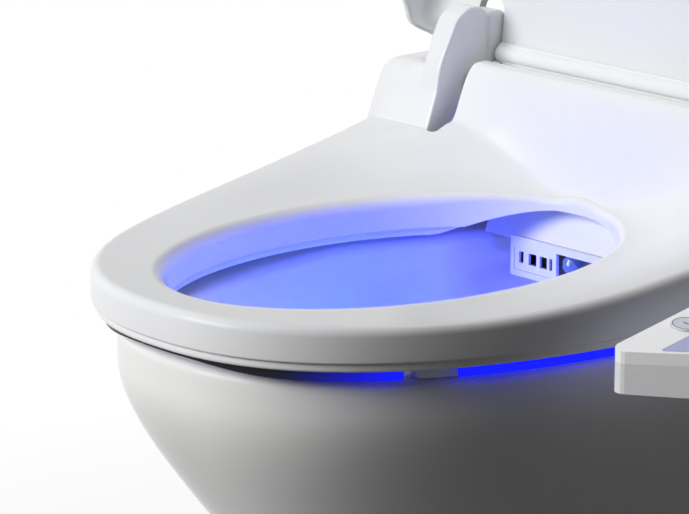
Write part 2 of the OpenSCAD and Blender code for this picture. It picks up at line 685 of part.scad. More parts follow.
// Hinge pins between the end caps and the seat's roll
module hinge_pins() {
    color("silver") on_datum() for (side = [0, 1]) mirror([side, 0, 0])
        translate([pin_end, hinge_s, hinge_h]) rotate([0, 90, 0]) cylinder(r = pin_r, h = pin_l);
}

// Unit
module mounting_plate() {
    color("white") on_datum() difference() {
        translate([0, 0, rim_level]) linear_extrude(plate_t) polygon(rounded([[-bolt_gap / 2 - 26, bolt_s - 32, 10],
            [bolt_gap / 2 + 26, bolt_s - 32, 10], [bolt_gap / 2 + 26, bolt_s + 32, 10],
            [-bolt_gap / 2 - 26, bolt_s + 32, 10]]));
        for (side = [-1, 1]) translate([side * bolt_gap / 2, bolt_s, rim_level - 1]) {
            cylinder(r = bolt_r + 0.3, h = plate_t + 2);
            translate([0, 0, 1 + plate_t - 3]) cylinder(r = 9, h = 4);
        }
    }
}

module mounting_bolts() {
    color("silver") on_datum() for (side = [-1, 1]) translate([side * bolt_gap / 2, bolt_s, plate_top - 3]) {
        cylinder(r = 8.5, h = 2.8);
        translate([0, 0, -deck_t - 22]) cylinder(r = bolt_r, h = deck_t + 22 + eps);
    }
}

module mounting_washers() {
    color("dimgray") on_datum() for (side = [-1, 1])
        translate([side * bolt_gap / 2, bolt_s, rim_level - deck_t - 4]) difference() {
            cylinder(r = 14, h = 4);
            translate([0, 0, -1]) cylinder(r = bolt_r + 0.3, h = 6);
        }
}

module mounting_nuts() {
    color("white") on_datum() for (side = [-1, 1])
        translate([side * bolt_gap / 2, bolt_s, rim_level - deck_t - 14]) difference() {
            union() {
                cylinder(r = 8, h = 10);
                translate([0, 0, 3]) cube([34, 5, 6], center = true);
                translate([0, 0, 8]) cylinder(r = 12, h = 2);
            }
            translate([0, 0, -1]) cylinder(r = bolt_r + 0.1, h = 12);
        }
}

tray_s = 372;
wall_x = cap_in - 1;
module unit_tray() {
    color("white") on_datum() difference() {
        union() {
            translate([0, 0, plate_top]) linear_extrude(skin_t) polygon(rounded([
                [-unit_half + 3, cap_front + 3, 8], [-cap_in - 1, cap_front + 3, 4], [-cap_in - 1, tray_s, 0],
                [cap_in + 1, tray_s, 0], [cap_in + 1, cap_front + 3, 4], [unit_half - 3, cap_front + 3, 8],
                [unit_half - 3, unit_back, 6], [-unit_half + 3, unit_back, 6]]));
            for (side = [-1, 1]) box([side * wall_x - (side > 0 ? skin_t : 0), tray_s + skin_t, plate_top],
                [side * wall_x + (side > 0 ? 0 : skin_t), unit_back - skin_t - 0.3, tray_top + 12]);
            for (side = [-1, 1]) translate([side * 126, 500, tray_top - eps]) cylinder(r = 5, h = 8);
        }
        translate([0, 0, plate_top - 1]) linear_extrude(40) polygon([[-bay_w / 2 - 2, 0], [bay_w / 2 + 2, 0],
            [bay_w / 2 + 2, 391], [34, 391], [34, 404], [-34, 404], [-34, 391], [-bay_w / 2 - 2, 391]]);
    }
}

// Side view of the unit's cover, moved in by d
function cover_view(d) = [[tray_s + d, tray_top - (d > 0 ? 10 : 0), 0], [unit_back - d, tray_top - (d > 0 ? 10 : 0), 0],
    [unit_back - d, cover_h - 4 - d, 12 - d], [hinge_s + 34 + d, cover_h - d, 8 - d * 0.5],
    [hinge_s + 22 + d * 0.6, 30 - d, 6 + d], [tray_s + 12 + d, 27 - d, 6 - d * 0.5], [tray_s + d, 12, 8]];
module unit_cover() {
    color("white") on_datum() difference() {
        across(-cap_in + seat_gap, cap_in - seat_gap) difference() {
            polygon(rounded(cover_view(0)));
            polygon(rounded(cover_view(skin_t)));
        }
        box([-bay_w / 2, tray_s - 1, tray_top - 1], [bay_w / 2, tray_s + skin_t + 1, 6]);
    }
}

// Side views of an end cap's shoulder and of its fin
function shoulder_view() = rounded([[cap_front, tray_top, 2], [cap_front - 1.5, 24, 3], [cap_front + 8, 50, 12],
    [hinge_s - 24, shoulder_h, 12], [hinge_s + 13, shoulder_h, 6], [hinge_s + 20, cover_h, 5],
    [unit_back - 4, cover_h - 5, 14], [unit_back, 20, 10], [unit_back, tray_top, 3]]);
function fin_view() = rounded([[cap_front + 3, 20, 2], [cap_front + 11, hinge_h + 15, 40],
    [hinge_s - 13, fin_h - 6, 18], [hinge_s - 3, fin_h, 9], [hinge_s + 10, fin_h - 2, 9],
    [hinge_s + 15, hinge_h + 28, 20], [hinge_s + 15, 20, 2]]);
function cap_section() = rounded([[cap_in, tray_top - 30, 0], [unit_half, tray_top - 30, 0],
    [unit_half, fin_h + 6, 0], [cap_in, fin_h + 6, 0]]);
module end_cap() {
    difference() {
        union() {
            intersection() {
                across(cap_in, unit_half) polygon(shoulder_view());
                translate([0, unit_back + 20, 0]) rotate([90, 0, 0]) linear_extrude(unit_back)
                    polygon(rounded([[cap_in, tray_top, 0], [unit_half - 2, tray_top, 0], [unit_half, 10, 20],
                        [unit_half - 2, shoulder_h, 9], [cap_in, shoulder_h, 0]]));
            }
            across(cap_in, cap_in + fin_t) polygon(fin_view());
        }
        translate([cap_in - 1, hinge_s, hinge_h]) rotate([0, 90, 0]) cylinder(r = pin_r + pin_gap, h = 16);
        children();
    }
}

valve_s = 470;
valve_h = -4;
module end_cap_left() {
    color("white") on_datum() mirror([1, 0, 0]) end_cap()
        translate([cap_in - 1, valve_s, valve_h]) rotate([0, 90, 0]) cylinder(r = supply_r + 0.6, h = 80);
}
module end_cap_right() {
    color("white") on_datum() end_cap();
}

// Spray bay
shield_low = rim_level + 1.5;
bay_low = rim_level - 22;
bay_top = rim_level - 3;
module splash_shield() {
    color("white") on_datum() difference() {
        union() {
            across(-88, 88) polygon([[bay_s + 2, shield_low], [bay_s + 4.5, shield_low],
                [tray_s - 1, 11], [tray_s - 3.5, 11]]);
            box([-bay_w / 2, bay_s, bay_low], [bay_w / 2, bay_s + 2.5, shield_low + 3]);
            for (side = [-1, 1]) box([side * bay_w / 2 - (side > 0 ? 2 : 0), bay_s, bay_low],
                [side * bay_w / 2 + (side > 0 ? 0 : 2), bay_s + 34, shield_low]);
        }
        box([-bay_w / 2 + 3, bay_s - 1, bay_top - vent_h], [-bay_w / 2 + 3 + vent_w, bay_s + 4, bay_top]);
        box([-wand_gap / 2 - wand_r - 2, bay_s - 1, bay_low - 1], [wand_gap / 2 + wand_r + 2, bay_s + 4, bay_top + 2.5]);
    }
}

module air_grille() {
    pitch = (vent_w - 2) / vent_n;
    color("white") on_datum() difference() {
        translate([-bay_w / 2 + 3 + seat_gap, bay_s + 0.5, bay_top - vent_h + seat_gap])
            cube([vent_w - 2 * seat_gap, 2, vent_h - 2 * seat_gap]);
        for (i = [0 : vent_n - 1]) translate([-bay_w / 2 + 4 + pitch * (i + 0.2), bay_s - 1, bay_top - vent_h + 2])
            cube([pitch * 0.6, 5, vent_h - 4]);
    }
}

module air_duct() {
    x0 = -bay_w / 2 + 3;
    color("gray") on_datum() difference() {
        box([x0, bay_s + 2.8, bay_top - vent_h], [x0 + vent_w, bay_s + 36, tray_top + 10]);
        box([x0 + 2, bay_s + 2, bay_top - vent_h + 2], [x0 + vent_w - 2, bay_s + 20, bay_top - 2]);
        across(x0 - 1, x0 + vent_w + 1) polygon([[bay_s + 2, bay_top + 1.5], [bay_s + 2, 20],
            [tray_s + 4, 20], [tray_s - 1, tray_top + 3]]);
    }
}

module blower() {
    r = 26;
    x0 = -bay_w / 2 - 2;
    color("dimgray") on_datum() {
        difference() {
            translate([x0, 418, tray_top + r]) rotate([0, 90, 0]) cylinder(r = r, h = 40);
            translate([x0 - 1, 418, tray_top + r]) rotate([0, 90, 0]) cylinder(r = 12, h = 8);
        }
        box([x0 + 5, 386.3, tray_top], [x0 + 37, 418, tray_top + 18]);
    }
}

// Moves children to a wand's axis: local z runs back and up along it from the tip's front
tip_s = bay_s + 1.5;
tip_h = rim_level - 10;
module on_wand(x) {
    on_datum() translate([x, tip_s, tip_h]) rotate([-90 + wand_slope, 0, 0]) children();
}
tip_l = 16;

module nozzle_guide() {
    color("gray") on_wand(0) difference() {
        translate([-wand_gap / 2 - wand_r - 4, -wand_r - 2, 44]) cube([wand_gap + 2 * wand_r + 8, 2 * wand_r + 4, 72]);
        for (side = [-1, 1]) translate([side * wand_gap / 2, 0, 40]) cylinder(r = wand_r + wand_clear, h = 90);
    }
}

module wand() {
    difference() {
        translate([0, 0, tip_l]) cylinder(r = wand_r, h = wand_l);
        translate([0, 0, tip_l + 10]) cylinder(r = wand_r - 2.5, h = wand_l);
    }
}
module wand_tip() {
    difference() {
        union() {
            translate([0, 0, 3]) cylinder(r = wand_r - 0.5, h = tip_l - 3);
            cylinder(r1 = wand_r - 3, r2 = wand_r - 0.5, h = 3 + eps);
        }
        for (i = [0 : 2]) translate([0, -wand_r, 5 + 3 * i]) rotate([-90, 0, 0]) cylinder(r = 0.7, h = 3);
    }
}
module wash_wand() {
    color("silver") on_wand(-wand_gap / 2) wand();
}
module wash_tip() {
    color("lightblue") on_wand(-wand_gap / 2) wand_tip();
}
module bidet_wand() {
    color("silver") on_wand(wand_gap / 2) wand();
}
module bidet_tip() {
    color("lightblue") on_wand(wand_gap / 2) wand_tip();
}

module nozzle_motor() {
    color("dimgray") on_wand(0) {
        translate([0, wand_r + 12.3, 92]) cylinder(r = 10, h = 20);
        translate([-8, wand_r + 2.3, 94]) cube([16, 3, 16]);
    }
}

module water_heater() {
    color("whitesmoke") on_datum() {
        translate([0, 0, tray_top]) linear_extrude(48) polygon(rounded([[44, 420, 8], [126, 420, 8], [126, 474, 8],
            [44, 474, 8]]));
        for (x = [64, 104]) translate([x, 447, tray_top + 48 - eps]) cylinder(r = 5, h = 9);
    }
}

module pump() {
    color("dimgray") on_datum() {
        translate([40, 492, tray_top + 15]) rotate([0, 90, 0]) cylinder(r = 15, h = 50);
        translate([90 - eps, 492, tray_top + 15]) rotate([0, 90, 0]) cylinder(r = 9, h = 14);
    }
}

module inlet_valve() {
    color("silver") on_datum() {
        difference() {
            union() {
                translate([-unit_half - supply_l, valve_s, valve_h]) rotate([0, 90, 0]) cylinder(r = supply_r, h = supply_l - 1);
                translate([-unit_half - 1 - eps, valve_s, valve_h]) rotate([0, 90, 0])
                    cylinder(r = supply_r - 0.6, h = unit_half + 6 - cap_in);
            }
            translate([-unit_half - supply_l - 1, valve_s, valve_h]) rotate([0, 90, 0]) cylinder(r = 6, h = 60);
        }
        box([-cap_in + 4.3, valve_s - 16, tray_top], [-cap_in + 44, valve_s + 16, valve_h + 16]);
    }
}

board_s = 466;
module control_board() {
    color("green") on_datum() {
        box([-84, board_s, tray_top], [36, board_s + 2, cover_h - 12]);
        for (i = [0 : 3])
            box([-76 + 26 * i, board_s + 2 - eps, tray_top + 8], [-60 + 26 * i, board_s + 12, tray_top + 26]);
        box([-80, board_s + 2 - eps, tray_top], [32, board_s + 8, tray_top + 5]);
    }
}

module power_gland() {
    color("dimgray") on_datum() translate([160, unit_back, 6]) rotate([-90, 0, 0]) difference() {
        union() {
            cylinder(r = 9, h = 3);
            cylinder(r = 6.5, h = 12);
        }
        translate([0, 0, -1]) cylinder(r = gland_r, h = 14);
    }
}

module bowl_light() {
    color("blue") on_datum() translate([(bay_w / 2 + wand_gap / 2 + wand_r) / 2, bay_s - 2.5, bay_top - 8])
        rotate([-90, 0, 0]) linear_extrude(2.5) {
            square([20, 8], center = true);
            for (side = [-1, 1]) translate([side * 10, 0]) circle(4);
        }
}

// Control panel
arm_end = arm_x + arm_w;
top_s = 430;
rear_h = arm_h + (top_s - arm_s) * tan(arm_slope);
module arm_plan() {
    polygon(rounded([[arm_x, arm_s, 6.5], [arm_end, arm_s + arm_w * tan(arm_slant), 26], [arm_end, arm_back, 16],
        [arm_x, arm_back, 0]]));
}
// Moves children to the sloping top: local y runs up the slope and local z out of it
module on_slope() {
    on_datum() translate([arm_x, arm_s, arm_h]) rotate([arm_slope, 0, 0]) rotate([0, arm_tilt, 0])
        translate([-arm_x, 0, 0]) children();
}
module panel_housing() {
    color("white") difference() {
        union() {
            on_datum() translate([0, 0, arm_low]) linear_extrude(rear_h - arm_low) arm_plan();
            on_datum() box([unit_half + seat_gap, 356, arm_low], [arm_x + eps, arm_back, 20]);
        }
        on_slope() box([arm_x - 50, -60, -arm_t], [arm_end + 50, (top_s - arm_s) / cos(arm_slope), 90]);
        on_datum() translate([arm_x, top_s, rear_h]) rotate([0, atan(tan(arm_tilt) / cos(arm_slope)), 0])
            box([-1, -20, 0], [arm_w + 40, 120, 60]);
        on_slope() translate([0, 0, -14]) linear_extrude(14) board_plan(0);
    }
}
module panel_cover() {
    color("white") difference() {
        intersection() {
            on_datum() translate([0, 0, arm_low]) linear_extrude(120) arm_plan();
            on_slope() box([arm_x - 50, -60, -arm_t], [arm_end + 50, (top_s - arm_s) / cos(arm_slope) - seat_gap, 0]);
        }
        for (p = oval_places) on_slope() translate([p[0], p[1], -arm_t - 1]) linear_extrude(arm_t + 2)
            oval(oval_l + 2 * button_gap, oval_w + 2 * button_gap);
        for (p = round_places) on_slope() translate([p[0], p[1], -arm_t - 1])
            cylinder(r = round_r + button_gap, h = arm_t + 2);
        on_slope() translate([0, 0, -0.8]) linear_extrude(2) field_plan(0);
    }
}
oval_x = arm_x + 14;
oval_places = [for (i = [0 : 3]) [oval_x, 53.5 + 34 * i]];
round_places = [for (i = [0, 1]) [arm_x + 52, 168 + 26 * i]];
field_x = arm_x + 24.3;
module field_plan(d) {
    polygon(rounded([[field_x + d, 19.5 + 1.5 * d, 2], [arm_end - 8 - d, 52.5 + 1.5 * d, 8], [arm_end - 8 - d, 148 - d, 6],
        [field_x + d, 148 - d, 6]]));
}
module board_plan(d) {
    polygon([[arm_x + 2.5 + d, 38 + d], [arm_x + 40 - d / 2, 38 + d], [arm_end - 7 - d, 64 + d],
        [arm_end - 7 - d, 214 - d], [arm_x + 2.5 + d, 214 - d]]);
}
module panel_field() {
    color("lightsteelblue") on_slope() translate([0, 0, -0.8]) linear_extrude(0.8) field_plan(0.2);
}
module panel_board() {
    color("green") on_slope() translate([0, 0, -13.7]) linear_extrude(1.6) board_plan(1.5);
}
module oval(length, width) {
    square([length - width, width], center = true);
    for (end = [-1, 1]) translate([end * (length - width) / 2, 0]) circle(width / 2);
}
module oval_button(i) {
    color("gainsboro") on_slope() translate([oval_places[i][0], oval_places[i][1], 0]) {
        translate([0, 0, -arm_t - 1]) linear_extrude(arm_t + 1 + button_up) oval(oval_l, oval_w);
        translate([0, 0, -arm_t - 2.3]) linear_extrude(2) oval(oval_l + 3, oval_w + 3);
        translate([0, 0, -11]) cylinder(r = 2.5, h = 4);
    }
}
module round_button(i) {
    color("gainsboro") on_slope() translate([round_places[i][0], round_places[i][1], 0]) {
        translate([0, 0, -arm_t - 1]) cylinder(r = round_r, h = arm_t + 1 + button_up);
        translate([0, 0, -arm_t - 2.3]) cylinder(r = round_r + 2, h = 2);
        translate([0, 0, -11]) cylinder(r = 2.5, h = 4);
    }
}
module button_stop() {
    oval_button(0);
}
module button_wash() {
    oval_button(1);
}
module button_bidet() {
    oval_button(2);
}
module button_dry() {
    oval_button(3);
}
module button_less() {
    round_button(0);
}
module button_more() {
    round_button(1);
}

pan();
floor_brackets();
side_screws();
screw_caps();
mounting_plate();
mounting_bolts();
mounting_washers();
mounting_nuts();
unit_tray();
unit_cover();
end_cap_left();
end_cap_right();
hinge_pins();
splash_shield();
air_grille();
air_duct();
blower();
nozzle_guide();
nozzle_motor();
water_heater();
pump();
inlet_valve();
control_board();
power_gland();
bowl_light();
wash_wand();
wash_tip();
bidet_wand();
bidet_tip();
seat_top();
seat_base();
seat_heater();
seat_buffers();
light_guides();
lid_shell();
lid_bar();
lid_pads();
panel_housing();
panel_cover();
panel_field();
panel_board();
button_stop();
button_wash();
button_bidet();
button_dry();
button_less();
button_more();
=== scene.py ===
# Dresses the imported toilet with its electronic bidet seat: smooth shells, materials, studio and camera.
import json
import math

import bpy
import numpy as np
from mathutils import Matrix, Vector


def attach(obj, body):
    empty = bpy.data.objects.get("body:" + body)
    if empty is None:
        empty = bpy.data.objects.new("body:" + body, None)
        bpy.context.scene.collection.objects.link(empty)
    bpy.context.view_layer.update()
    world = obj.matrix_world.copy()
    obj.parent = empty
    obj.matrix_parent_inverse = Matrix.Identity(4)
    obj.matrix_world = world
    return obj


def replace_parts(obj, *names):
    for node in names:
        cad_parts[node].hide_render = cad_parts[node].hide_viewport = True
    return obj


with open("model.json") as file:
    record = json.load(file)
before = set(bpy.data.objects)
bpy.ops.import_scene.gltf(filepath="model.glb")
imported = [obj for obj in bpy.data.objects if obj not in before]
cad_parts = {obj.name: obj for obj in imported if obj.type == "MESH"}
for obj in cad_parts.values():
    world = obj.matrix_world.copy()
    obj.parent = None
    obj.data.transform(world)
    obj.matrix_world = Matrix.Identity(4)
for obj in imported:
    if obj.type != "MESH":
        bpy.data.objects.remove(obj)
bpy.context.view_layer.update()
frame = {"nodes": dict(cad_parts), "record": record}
NODES = frame["nodes"]
MM = 0.001

# The part's main sizes in millimetres, repeated from its source
RIM_H, PAN_W, PAN_FRONT, PAN_BACK, PAN_NOSE = 400.0, 350.0, 407.0, 180.0, 313.0
RIM_BAND, RIM_R, BOWL_W, RIM_FRONT, BOWL_D, BOWL_REAR = 25.0, 6.0, 244.0, 37.0, 315.0, 30.0
FOOT_W, FOOT_FRONT, WALL, OUTLET_R, OUTLET_L = 226.0, 238.0, 16.0, 51.0, 60.0
TRAP_R, TRAP_GAP, WEIR_H, SUMP_H, INLET_R, INLET_H, INLET_L = 27.0, 80.0, 193.0, 107.0, 27.5, 325.0, 50.0
DECK_T, FIX_Y, FIX_H = 45.0, 105.0, 35.0
SEAT_W, SEAT_T, SEAT_BASE_T, SEAT_NOSE, POWER = 380.0, 27.0, 5.5, 328.0, 2.33
OPEN_W, OPEN_L, OPEN_FRONT = 218.0, 316.0, 33.0
EDGE_R, INNER_R, RISE_START, RISE_L, RISE_H = 6.0, 9.0, 97.0, 333.0, 52.5
ARCH_START, ARCH_SLOPE = 298.0, 0.46
HINGE_S, HINGE_H, ROLL_R, ROLL_W = 386.0, 52.0, 16.5, 254.0
LID_W, LID_OVER, LID_RISE, LID_T, LID_WALL, LID_ROUND = 412.0, 8.0, 22.0, 4.0, 3.5, 16.0
LID_CROWN, LID_SLOPE, LID_OPEN, LID_GAP, LID_REAR, LID_CORNER = 8.0, 9.0, 105.0, 1.5, 14.0, 26.0
SLOT_L, SLOT_GAP, FIN_T, CAP_GAP, CAP_FRONT, CAP_CLEAR = 58.0, 3.0, 18.0, 274.0, 346.0, 2.5
UNIT_W, UNIT_BACK, SHOULDER_H, FIN_H, COVER_H = 392.0, 512.0, 65.5, 103.5, 45.0
BOLT_S, BOLT_GAP, DECK_HOLE_R = 445.0, 140.0, 7.0
BUFFER_H = 9.0
PIN_HOLE_R, VALVE_HOLE_R, VALVE_S, VALVE_H = 5.05, 11.0, 470.0, -4.0

DATUM_Z = RIM_H + BUFFER_H + SEAT_T
DATUM_Y = -PAN_FRONT - 15.0
SEAM = -SEAT_T + SEAT_BASE_T
HALF, ROLL_HALF = SEAT_W / 2, ROLL_W / 2
ROLL_TOP, SEAT_REAR = HINGE_H + ROLL_R, HINGE_S + ROLL_R
NOTCH_S = CAP_FRONT - CAP_CLEAR
OPEN_MID = OPEN_FRONT + OPEN_L / 2
CAP_IN, UNIT_HALF, LID_HALF = CAP_GAP / 2, UNIT_W / 2, LID_W / 2
LID_L = (HINGE_S + LID_OVER) / math.cos(math.radians(LID_SLOPE))
TRAY_TOP = -SEAT_T - BUFFER_H + 8.0
MIDDLE = np.array([0, OPEN_MID])


def smooth(t):
    t = np.clip(t, 0.0, 1.0)
    return t * t * (3 - 2 * t)


def mix(a, b, t):
    return a + (b - a) * t


def nose(angle, half, length):
    """A rounded nose as a quarter of a superellipse, from its tip to its full half width."""
    a = np.radians(angle)
    return np.stack([half * np.sin(a) ** (2 / POWER), -length * np.cos(a) ** (2 / POWER)], -1)


def whole(half):
    """A closed anticlockwise outline from its right half, front tip to the middle of the back."""
    other = half[-2:0:-1] * np.array([-1.0, 1.0])
    return np.concatenate([half, other])


def normals(path):
    d = np.roll(path, -1, 0) - np.roll(path, 1, 0)
    n = np.stack([d[:, 1], -d[:, 0]], -1)
    return n / np.linalg.norm(n, axis=1, keepdims=True)


def quarter(count):
    """Angles of a quarter turn, in radians."""
    return np.radians(np.linspace(0, 90, count))


def arc(centre, radius, start, end, count):
    """Points on a circle, without its first one."""
    a = np.radians(np.linspace(start, end, count + 1)[1:])
    return np.asarray(centre) + radius * np.stack([np.cos(a), np.sin(a)], -1)


def line(a, b, count):
    t = np.linspace(0, 1, count + 1)[1:, None]
    return np.asarray(a, float) * (1 - t) + np.asarray(b, float) * t


def collect(name, verts, faces, material=None, flat=False, sharp=40.0):
    mesh = bpy.data.meshes.new(name)
    mesh.from_pydata([tuple(v) for v in np.asarray(verts, float) * MM], [], faces)
    mesh.validate()
    mesh.update()
    obj = bpy.data.objects.new(name, mesh)
    bpy.context.scene.collection.objects.link(obj)
    if not flat:
        mesh.shade_smooth()
        mesh.set_sharp_from_angle(angle=math.radians(sharp))
    if material:
        mesh.materials.append(material)
    return obj


def ring_faces(count, rows, closed):
    """Quads of a skin through rings, wound outwards for rings that go up a solid's outside."""
    faces = []
    for k in range(rows if closed else rows - 1):
        a, b = k * count, ((k + 1) % rows) * count
        for j in range(count):
            i = (j + 1) % count
            faces.append((a + j, a + i, b + i, b + j))
    return faces


def skin(name, rings, material, closed=False, sharp=40.0):
    rings = np.asarray(rings, float)
    rows, count = rings.shape[:2]
    verts = list(rings.reshape(-1, 3))
    faces = ring_faces(count, rows, closed)
    if not closed:
        for ring, start, flip in ((rings[0], 0, True), (rings[-1], (rows - 1) * count, False)):
            verts.append(ring.mean(0))
            mid = len(verts) - 1
            for j in range(count):
                i = (j + 1) % count
                faces.append((mid, start + i, start + j) if flip else (mid, start + j, start + i))
    return collect(name, verts, faces, material, sharp=sharp)


def prism(name, outline, low, high, place=None):
    """A straight extrusion of a 2D outline, with an optional matrix."""
    outline = np.asarray(outline, float)
    x, y = outline.T
    clockwise = float(x @ np.roll(y, -1) - y @ np.roll(x, -1)) < 0
    if clockwise != (place is not None and place.determinant() < 0):
        outline = outline[::-1]
    n = len(outline)
    verts = [(p[0], p[1], low) for p in outline] + [(p[0], p[1], high) for p in outline]
    faces = [tuple(range(n))[::-1], tuple(range(n, 2 * n))]
    faces += [(j, (j + 1) % n, n + (j + 1) % n, n + j) for j in range(n)]
    if place is not None:
        verts = [tuple(place @ Vector(v)) for v in verts]
    return collect(name, verts, faces, flat=True)


def disc(radius, count):
    a = np.radians(np.arange(count) * 360.0 / count)
    return np.stack([radius * np.cos(a), radius * np.sin(a)], -1)


def rounded(points):
    """A polygon whose corners [x, y, radius] are rounded."""
    steps = 8
    out = []
    n = len(points)
    for i in range(n):
        p = np.array(points[i][:2], float)
        r = points[i][2]
        if r == 0:
            out.append(p)
            continue
        u = np.array(points[i - 1][:2], float) - p
        v = np.array(points[(i + 1) % n][:2], float) - p
        u, v = u / np.linalg.norm(u), v / np.linalg.norm(v)
        half = math.acos(max(-1, min(1, float(u @ v)))) / 2
        m = p + (u + v) / np.linalg.norm(u + v) * r / math.sin(half)
        p1, p2 = p + u * r / math.tan(half) - m, p + v * r / math.tan(half) - m
        a1 = math.atan2(p1[1], p1[0])
        turn = (math.atan2(p2[1], p2[0]) - a1 + 3 * math.pi) % (2 * math.pi) - math.pi
        out += [m + r * np.array([math.cos(a1 + turn * k / steps), math.sin(a1 + turn * k / steps)])
                for k in range(steps + 1)]
    return np.array(out)


def box(name, low, high):
    (x0, y0, z0), (x1, y1, z1) = low, high
    return prism(name, [(x0, y0), (x1, y0), (x1, y1), (x0, y1)], z0, z1)


def tube(radius, length, place, count=96):
    return prism("tube", disc(radius, count), 0, length, place)


def cut(obj, cutters, how="DIFFERENCE"):
    """Applies booleans and deletes the cutters."""
    for c in cutters:
        m = obj.modifiers.new("cut", "BOOLEAN")
        m.operation, m.object, m.solver = how, c, "MANIFOLD"
    apply_modifiers(obj)
    for c in cutters:
        bpy.data.objects.remove(c)


def apply_modifiers(obj):
    bpy.context.view_layer.update()
    dg = bpy.context.evaluated_depsgraph_get()
    mesh = bpy.data.meshes.new_from_object(obj.evaluated_get(dg))
    obj.modifiers.clear()
    old = obj.data
    obj.data = mesh
    bpy.data.meshes.remove(old)


def resharpen(obj, degrees):
    obj.data.shade_smooth()
    obj.data.set_sharp_from_angle(angle=math.radians(degrees))


def paint(obj, material):
    obj.data.materials.clear()
    obj.data.materials.append(material)


def to_frame(rings):
    """From the seat datum to the part's frame."""
    rings = np.asarray(rings, float)
    return rings + np.array([0.0, DATUM_Y, DATUM_Z])


def turned(degrees, axis):
    return Matrix.Rotation(math.radians(degrees), 4, axis)


def at(x, y, z):
    return Matrix.Translation((x, y, z))


def move_to_datum(obj):
    obj.data.transform(Matrix.Translation(Vector((0, DATUM_Y, DATUM_Z)) * MM))


ON_DATUM = at(0, DATUM_Y, DATUM_Z)
# The control panel's arm: where it starts, its fall towards the front and its tilt
ARM_X, ARM_S, ARM_H, ARM_SLOPE, ARM_TILT = 211.0, 152.8, -12.8, 9.8, 4.8
ON_SLOPE = (ON_DATUM @ at(ARM_X, ARM_S, ARM_H) @ turned(ARM_SLOPE, "X") @ turned(ARM_TILT, "Y")
            @ at(-ARM_X, 0, 0))
# Side views [s, h] extruded across x
ACROSS = Matrix(((0, 0, 1, 0), (1, 0, 0, 0), (0, 1, 0, 0), (0, 0, 0, 1)))
LID_POSE = ON_DATUM @ at(0, HINGE_S, HINGE_H) @ turned(LID_SLOPE - LID_OPEN, "X")
LYING = turned(90, "X")


# Materials
def material(name, color, rough, build, **settings):
    m = bpy.data.materials.new(name)
    m.use_nodes = True
    tree = m.node_tree
    bsdf = tree.nodes["Principled BSDF"]
    bsdf.inputs["Base Color"].default_value = (*color, 1)
    bsdf.inputs["Roughness"].default_value = rough
    for key, value in settings.items():
        bsdf.inputs[key.replace("_", " ")].default_value = value
    build(tree, bsdf)
    return m


def node(tree, kind, **inputs):
    n = tree.nodes.new(kind)
    for key, value in inputs.items():
        n.inputs[key.replace("_", " ")].default_value = value
    return n


def object_coords(tree, scale=(1.0, 1.0, 1.0)):
    coord = tree.nodes.new("ShaderNodeTexCoord")
    mapping = node(tree, "ShaderNodeMapping", Scale=scale)
    tree.links.new(coord.outputs["Object"], mapping.inputs["Vector"])
    return mapping.outputs["Vector"]


def noise(tree, scale, detail=3.0, rough=0.5, squeeze=(1.0, 1.0, 1.0)):
    n = node(tree, "ShaderNodeTexNoise", Scale=scale, Detail=detail, Roughness=rough)
    tree.links.new(object_coords(tree, squeeze), n.inputs["Vector"])
    return n.outputs["Fac"]


def mapped(tree, value, source, target, interpolation="LINEAR"):
    """A value carried from one range over to another."""
    n = node(tree, "ShaderNodeMapRange", From_Min=source[0], From_Max=source[1], To_Min=target[0],
             To_Max=target[1])
    n.interpolation_type = interpolation
    tree.links.new(value, n.inputs["Value"])
    return n.outputs["Result"]


def tint(tree, bsdf, fac, low, high):
    """Base colour between two stops, each a position and a colour."""
    r = tree.nodes.new("ShaderNodeValToRGB")
    for item, (position, color) in zip(r.color_ramp.elements, (low, high)):
        item.position = position
        item.color = (*color, 1)
    tree.links.new(fac, r.inputs["Fac"])
    tree.links.new(r.outputs["Color"], bsdf.inputs["Base Color"])


def shade(color, k):
    return tuple(c * k for c in color)


def bump(tree, bsdf, height, strength, distance):
    b = node(tree, "ShaderNodeBump", Strength=strength, Distance=distance)
    tree.links.new(height, b.inputs["Height"])
    tree.links.new(b.outputs["Normal"], bsdf.inputs["Normal"])


def moulded(color, rough, tone, grain, grain_depth):
    """Moulded plastic: a faint drift in tone, uneven gloss from handling, and a very fine grain."""
    def build(tree, bsdf):
        tint(tree, bsdf, noise(tree, 7.0), (0.35, shade(color, 1 - tone)), (0.65, shade(color, 1 + tone)))
        uneven = (max(0.02, rough - 0.04), rough + 0.04)
        gloss = mapped(tree, noise(tree, 22.0, 5.0, 0.6), (0.3, 0.7), uneven)
        tree.links.new(gloss, bsdf.inputs["Roughness"])
        bump(tree, bsdf, noise(tree, grain, 2.0), 0.25, grain_depth)
    return build


def glazed(color):
    """Vitreous glaze: long soft waves in its surface, tiny specks and a faint pooling of tone."""
    def build(tree, bsdf):
        tint(tree, bsdf, noise(tree, 5.0, 4.0), (0.3, shade(color, 0.98)), (0.7, shade(color, 1.01)))
        gloss = mapped(tree, noise(tree, 90.0, 4.0), (0.0, 1.0), (0.04, 0.12))
        tree.links.new(gloss, bsdf.inputs["Roughness"])
        bump(tree, bsdf, noise(tree, 9.0, 3.0), 0.35, 0.0006)
    return build


def drawn(color, stretch):
    """Turned or drawn metal with fine lines round its axis."""
    def build(tree, bsdf):
        lines = noise(tree, 30.0, 4.0, squeeze=(stretch, 6.0, stretch))
        tint(tree, bsdf, lines, (0.3, shade(color, 0.9)), (0.7, shade(color, 1.05)))
        bump(tree, bsdf, lines, 0.3, 0.00005)
    return build


# Where along the part's length the light guides begin to glow and reach their full light, in metres
GLOW_START, GLOW_FULL = -0.4, -0.325
# The dark guide colour is painted shade: the shade of the gap under the seat's nose, painted onto the guide
# there.
GUIDE_PAINTED_SHADE, GUIDE_BLUE = (0.012, 0.012, 0.015), (0.006, 0.01, 0.3)


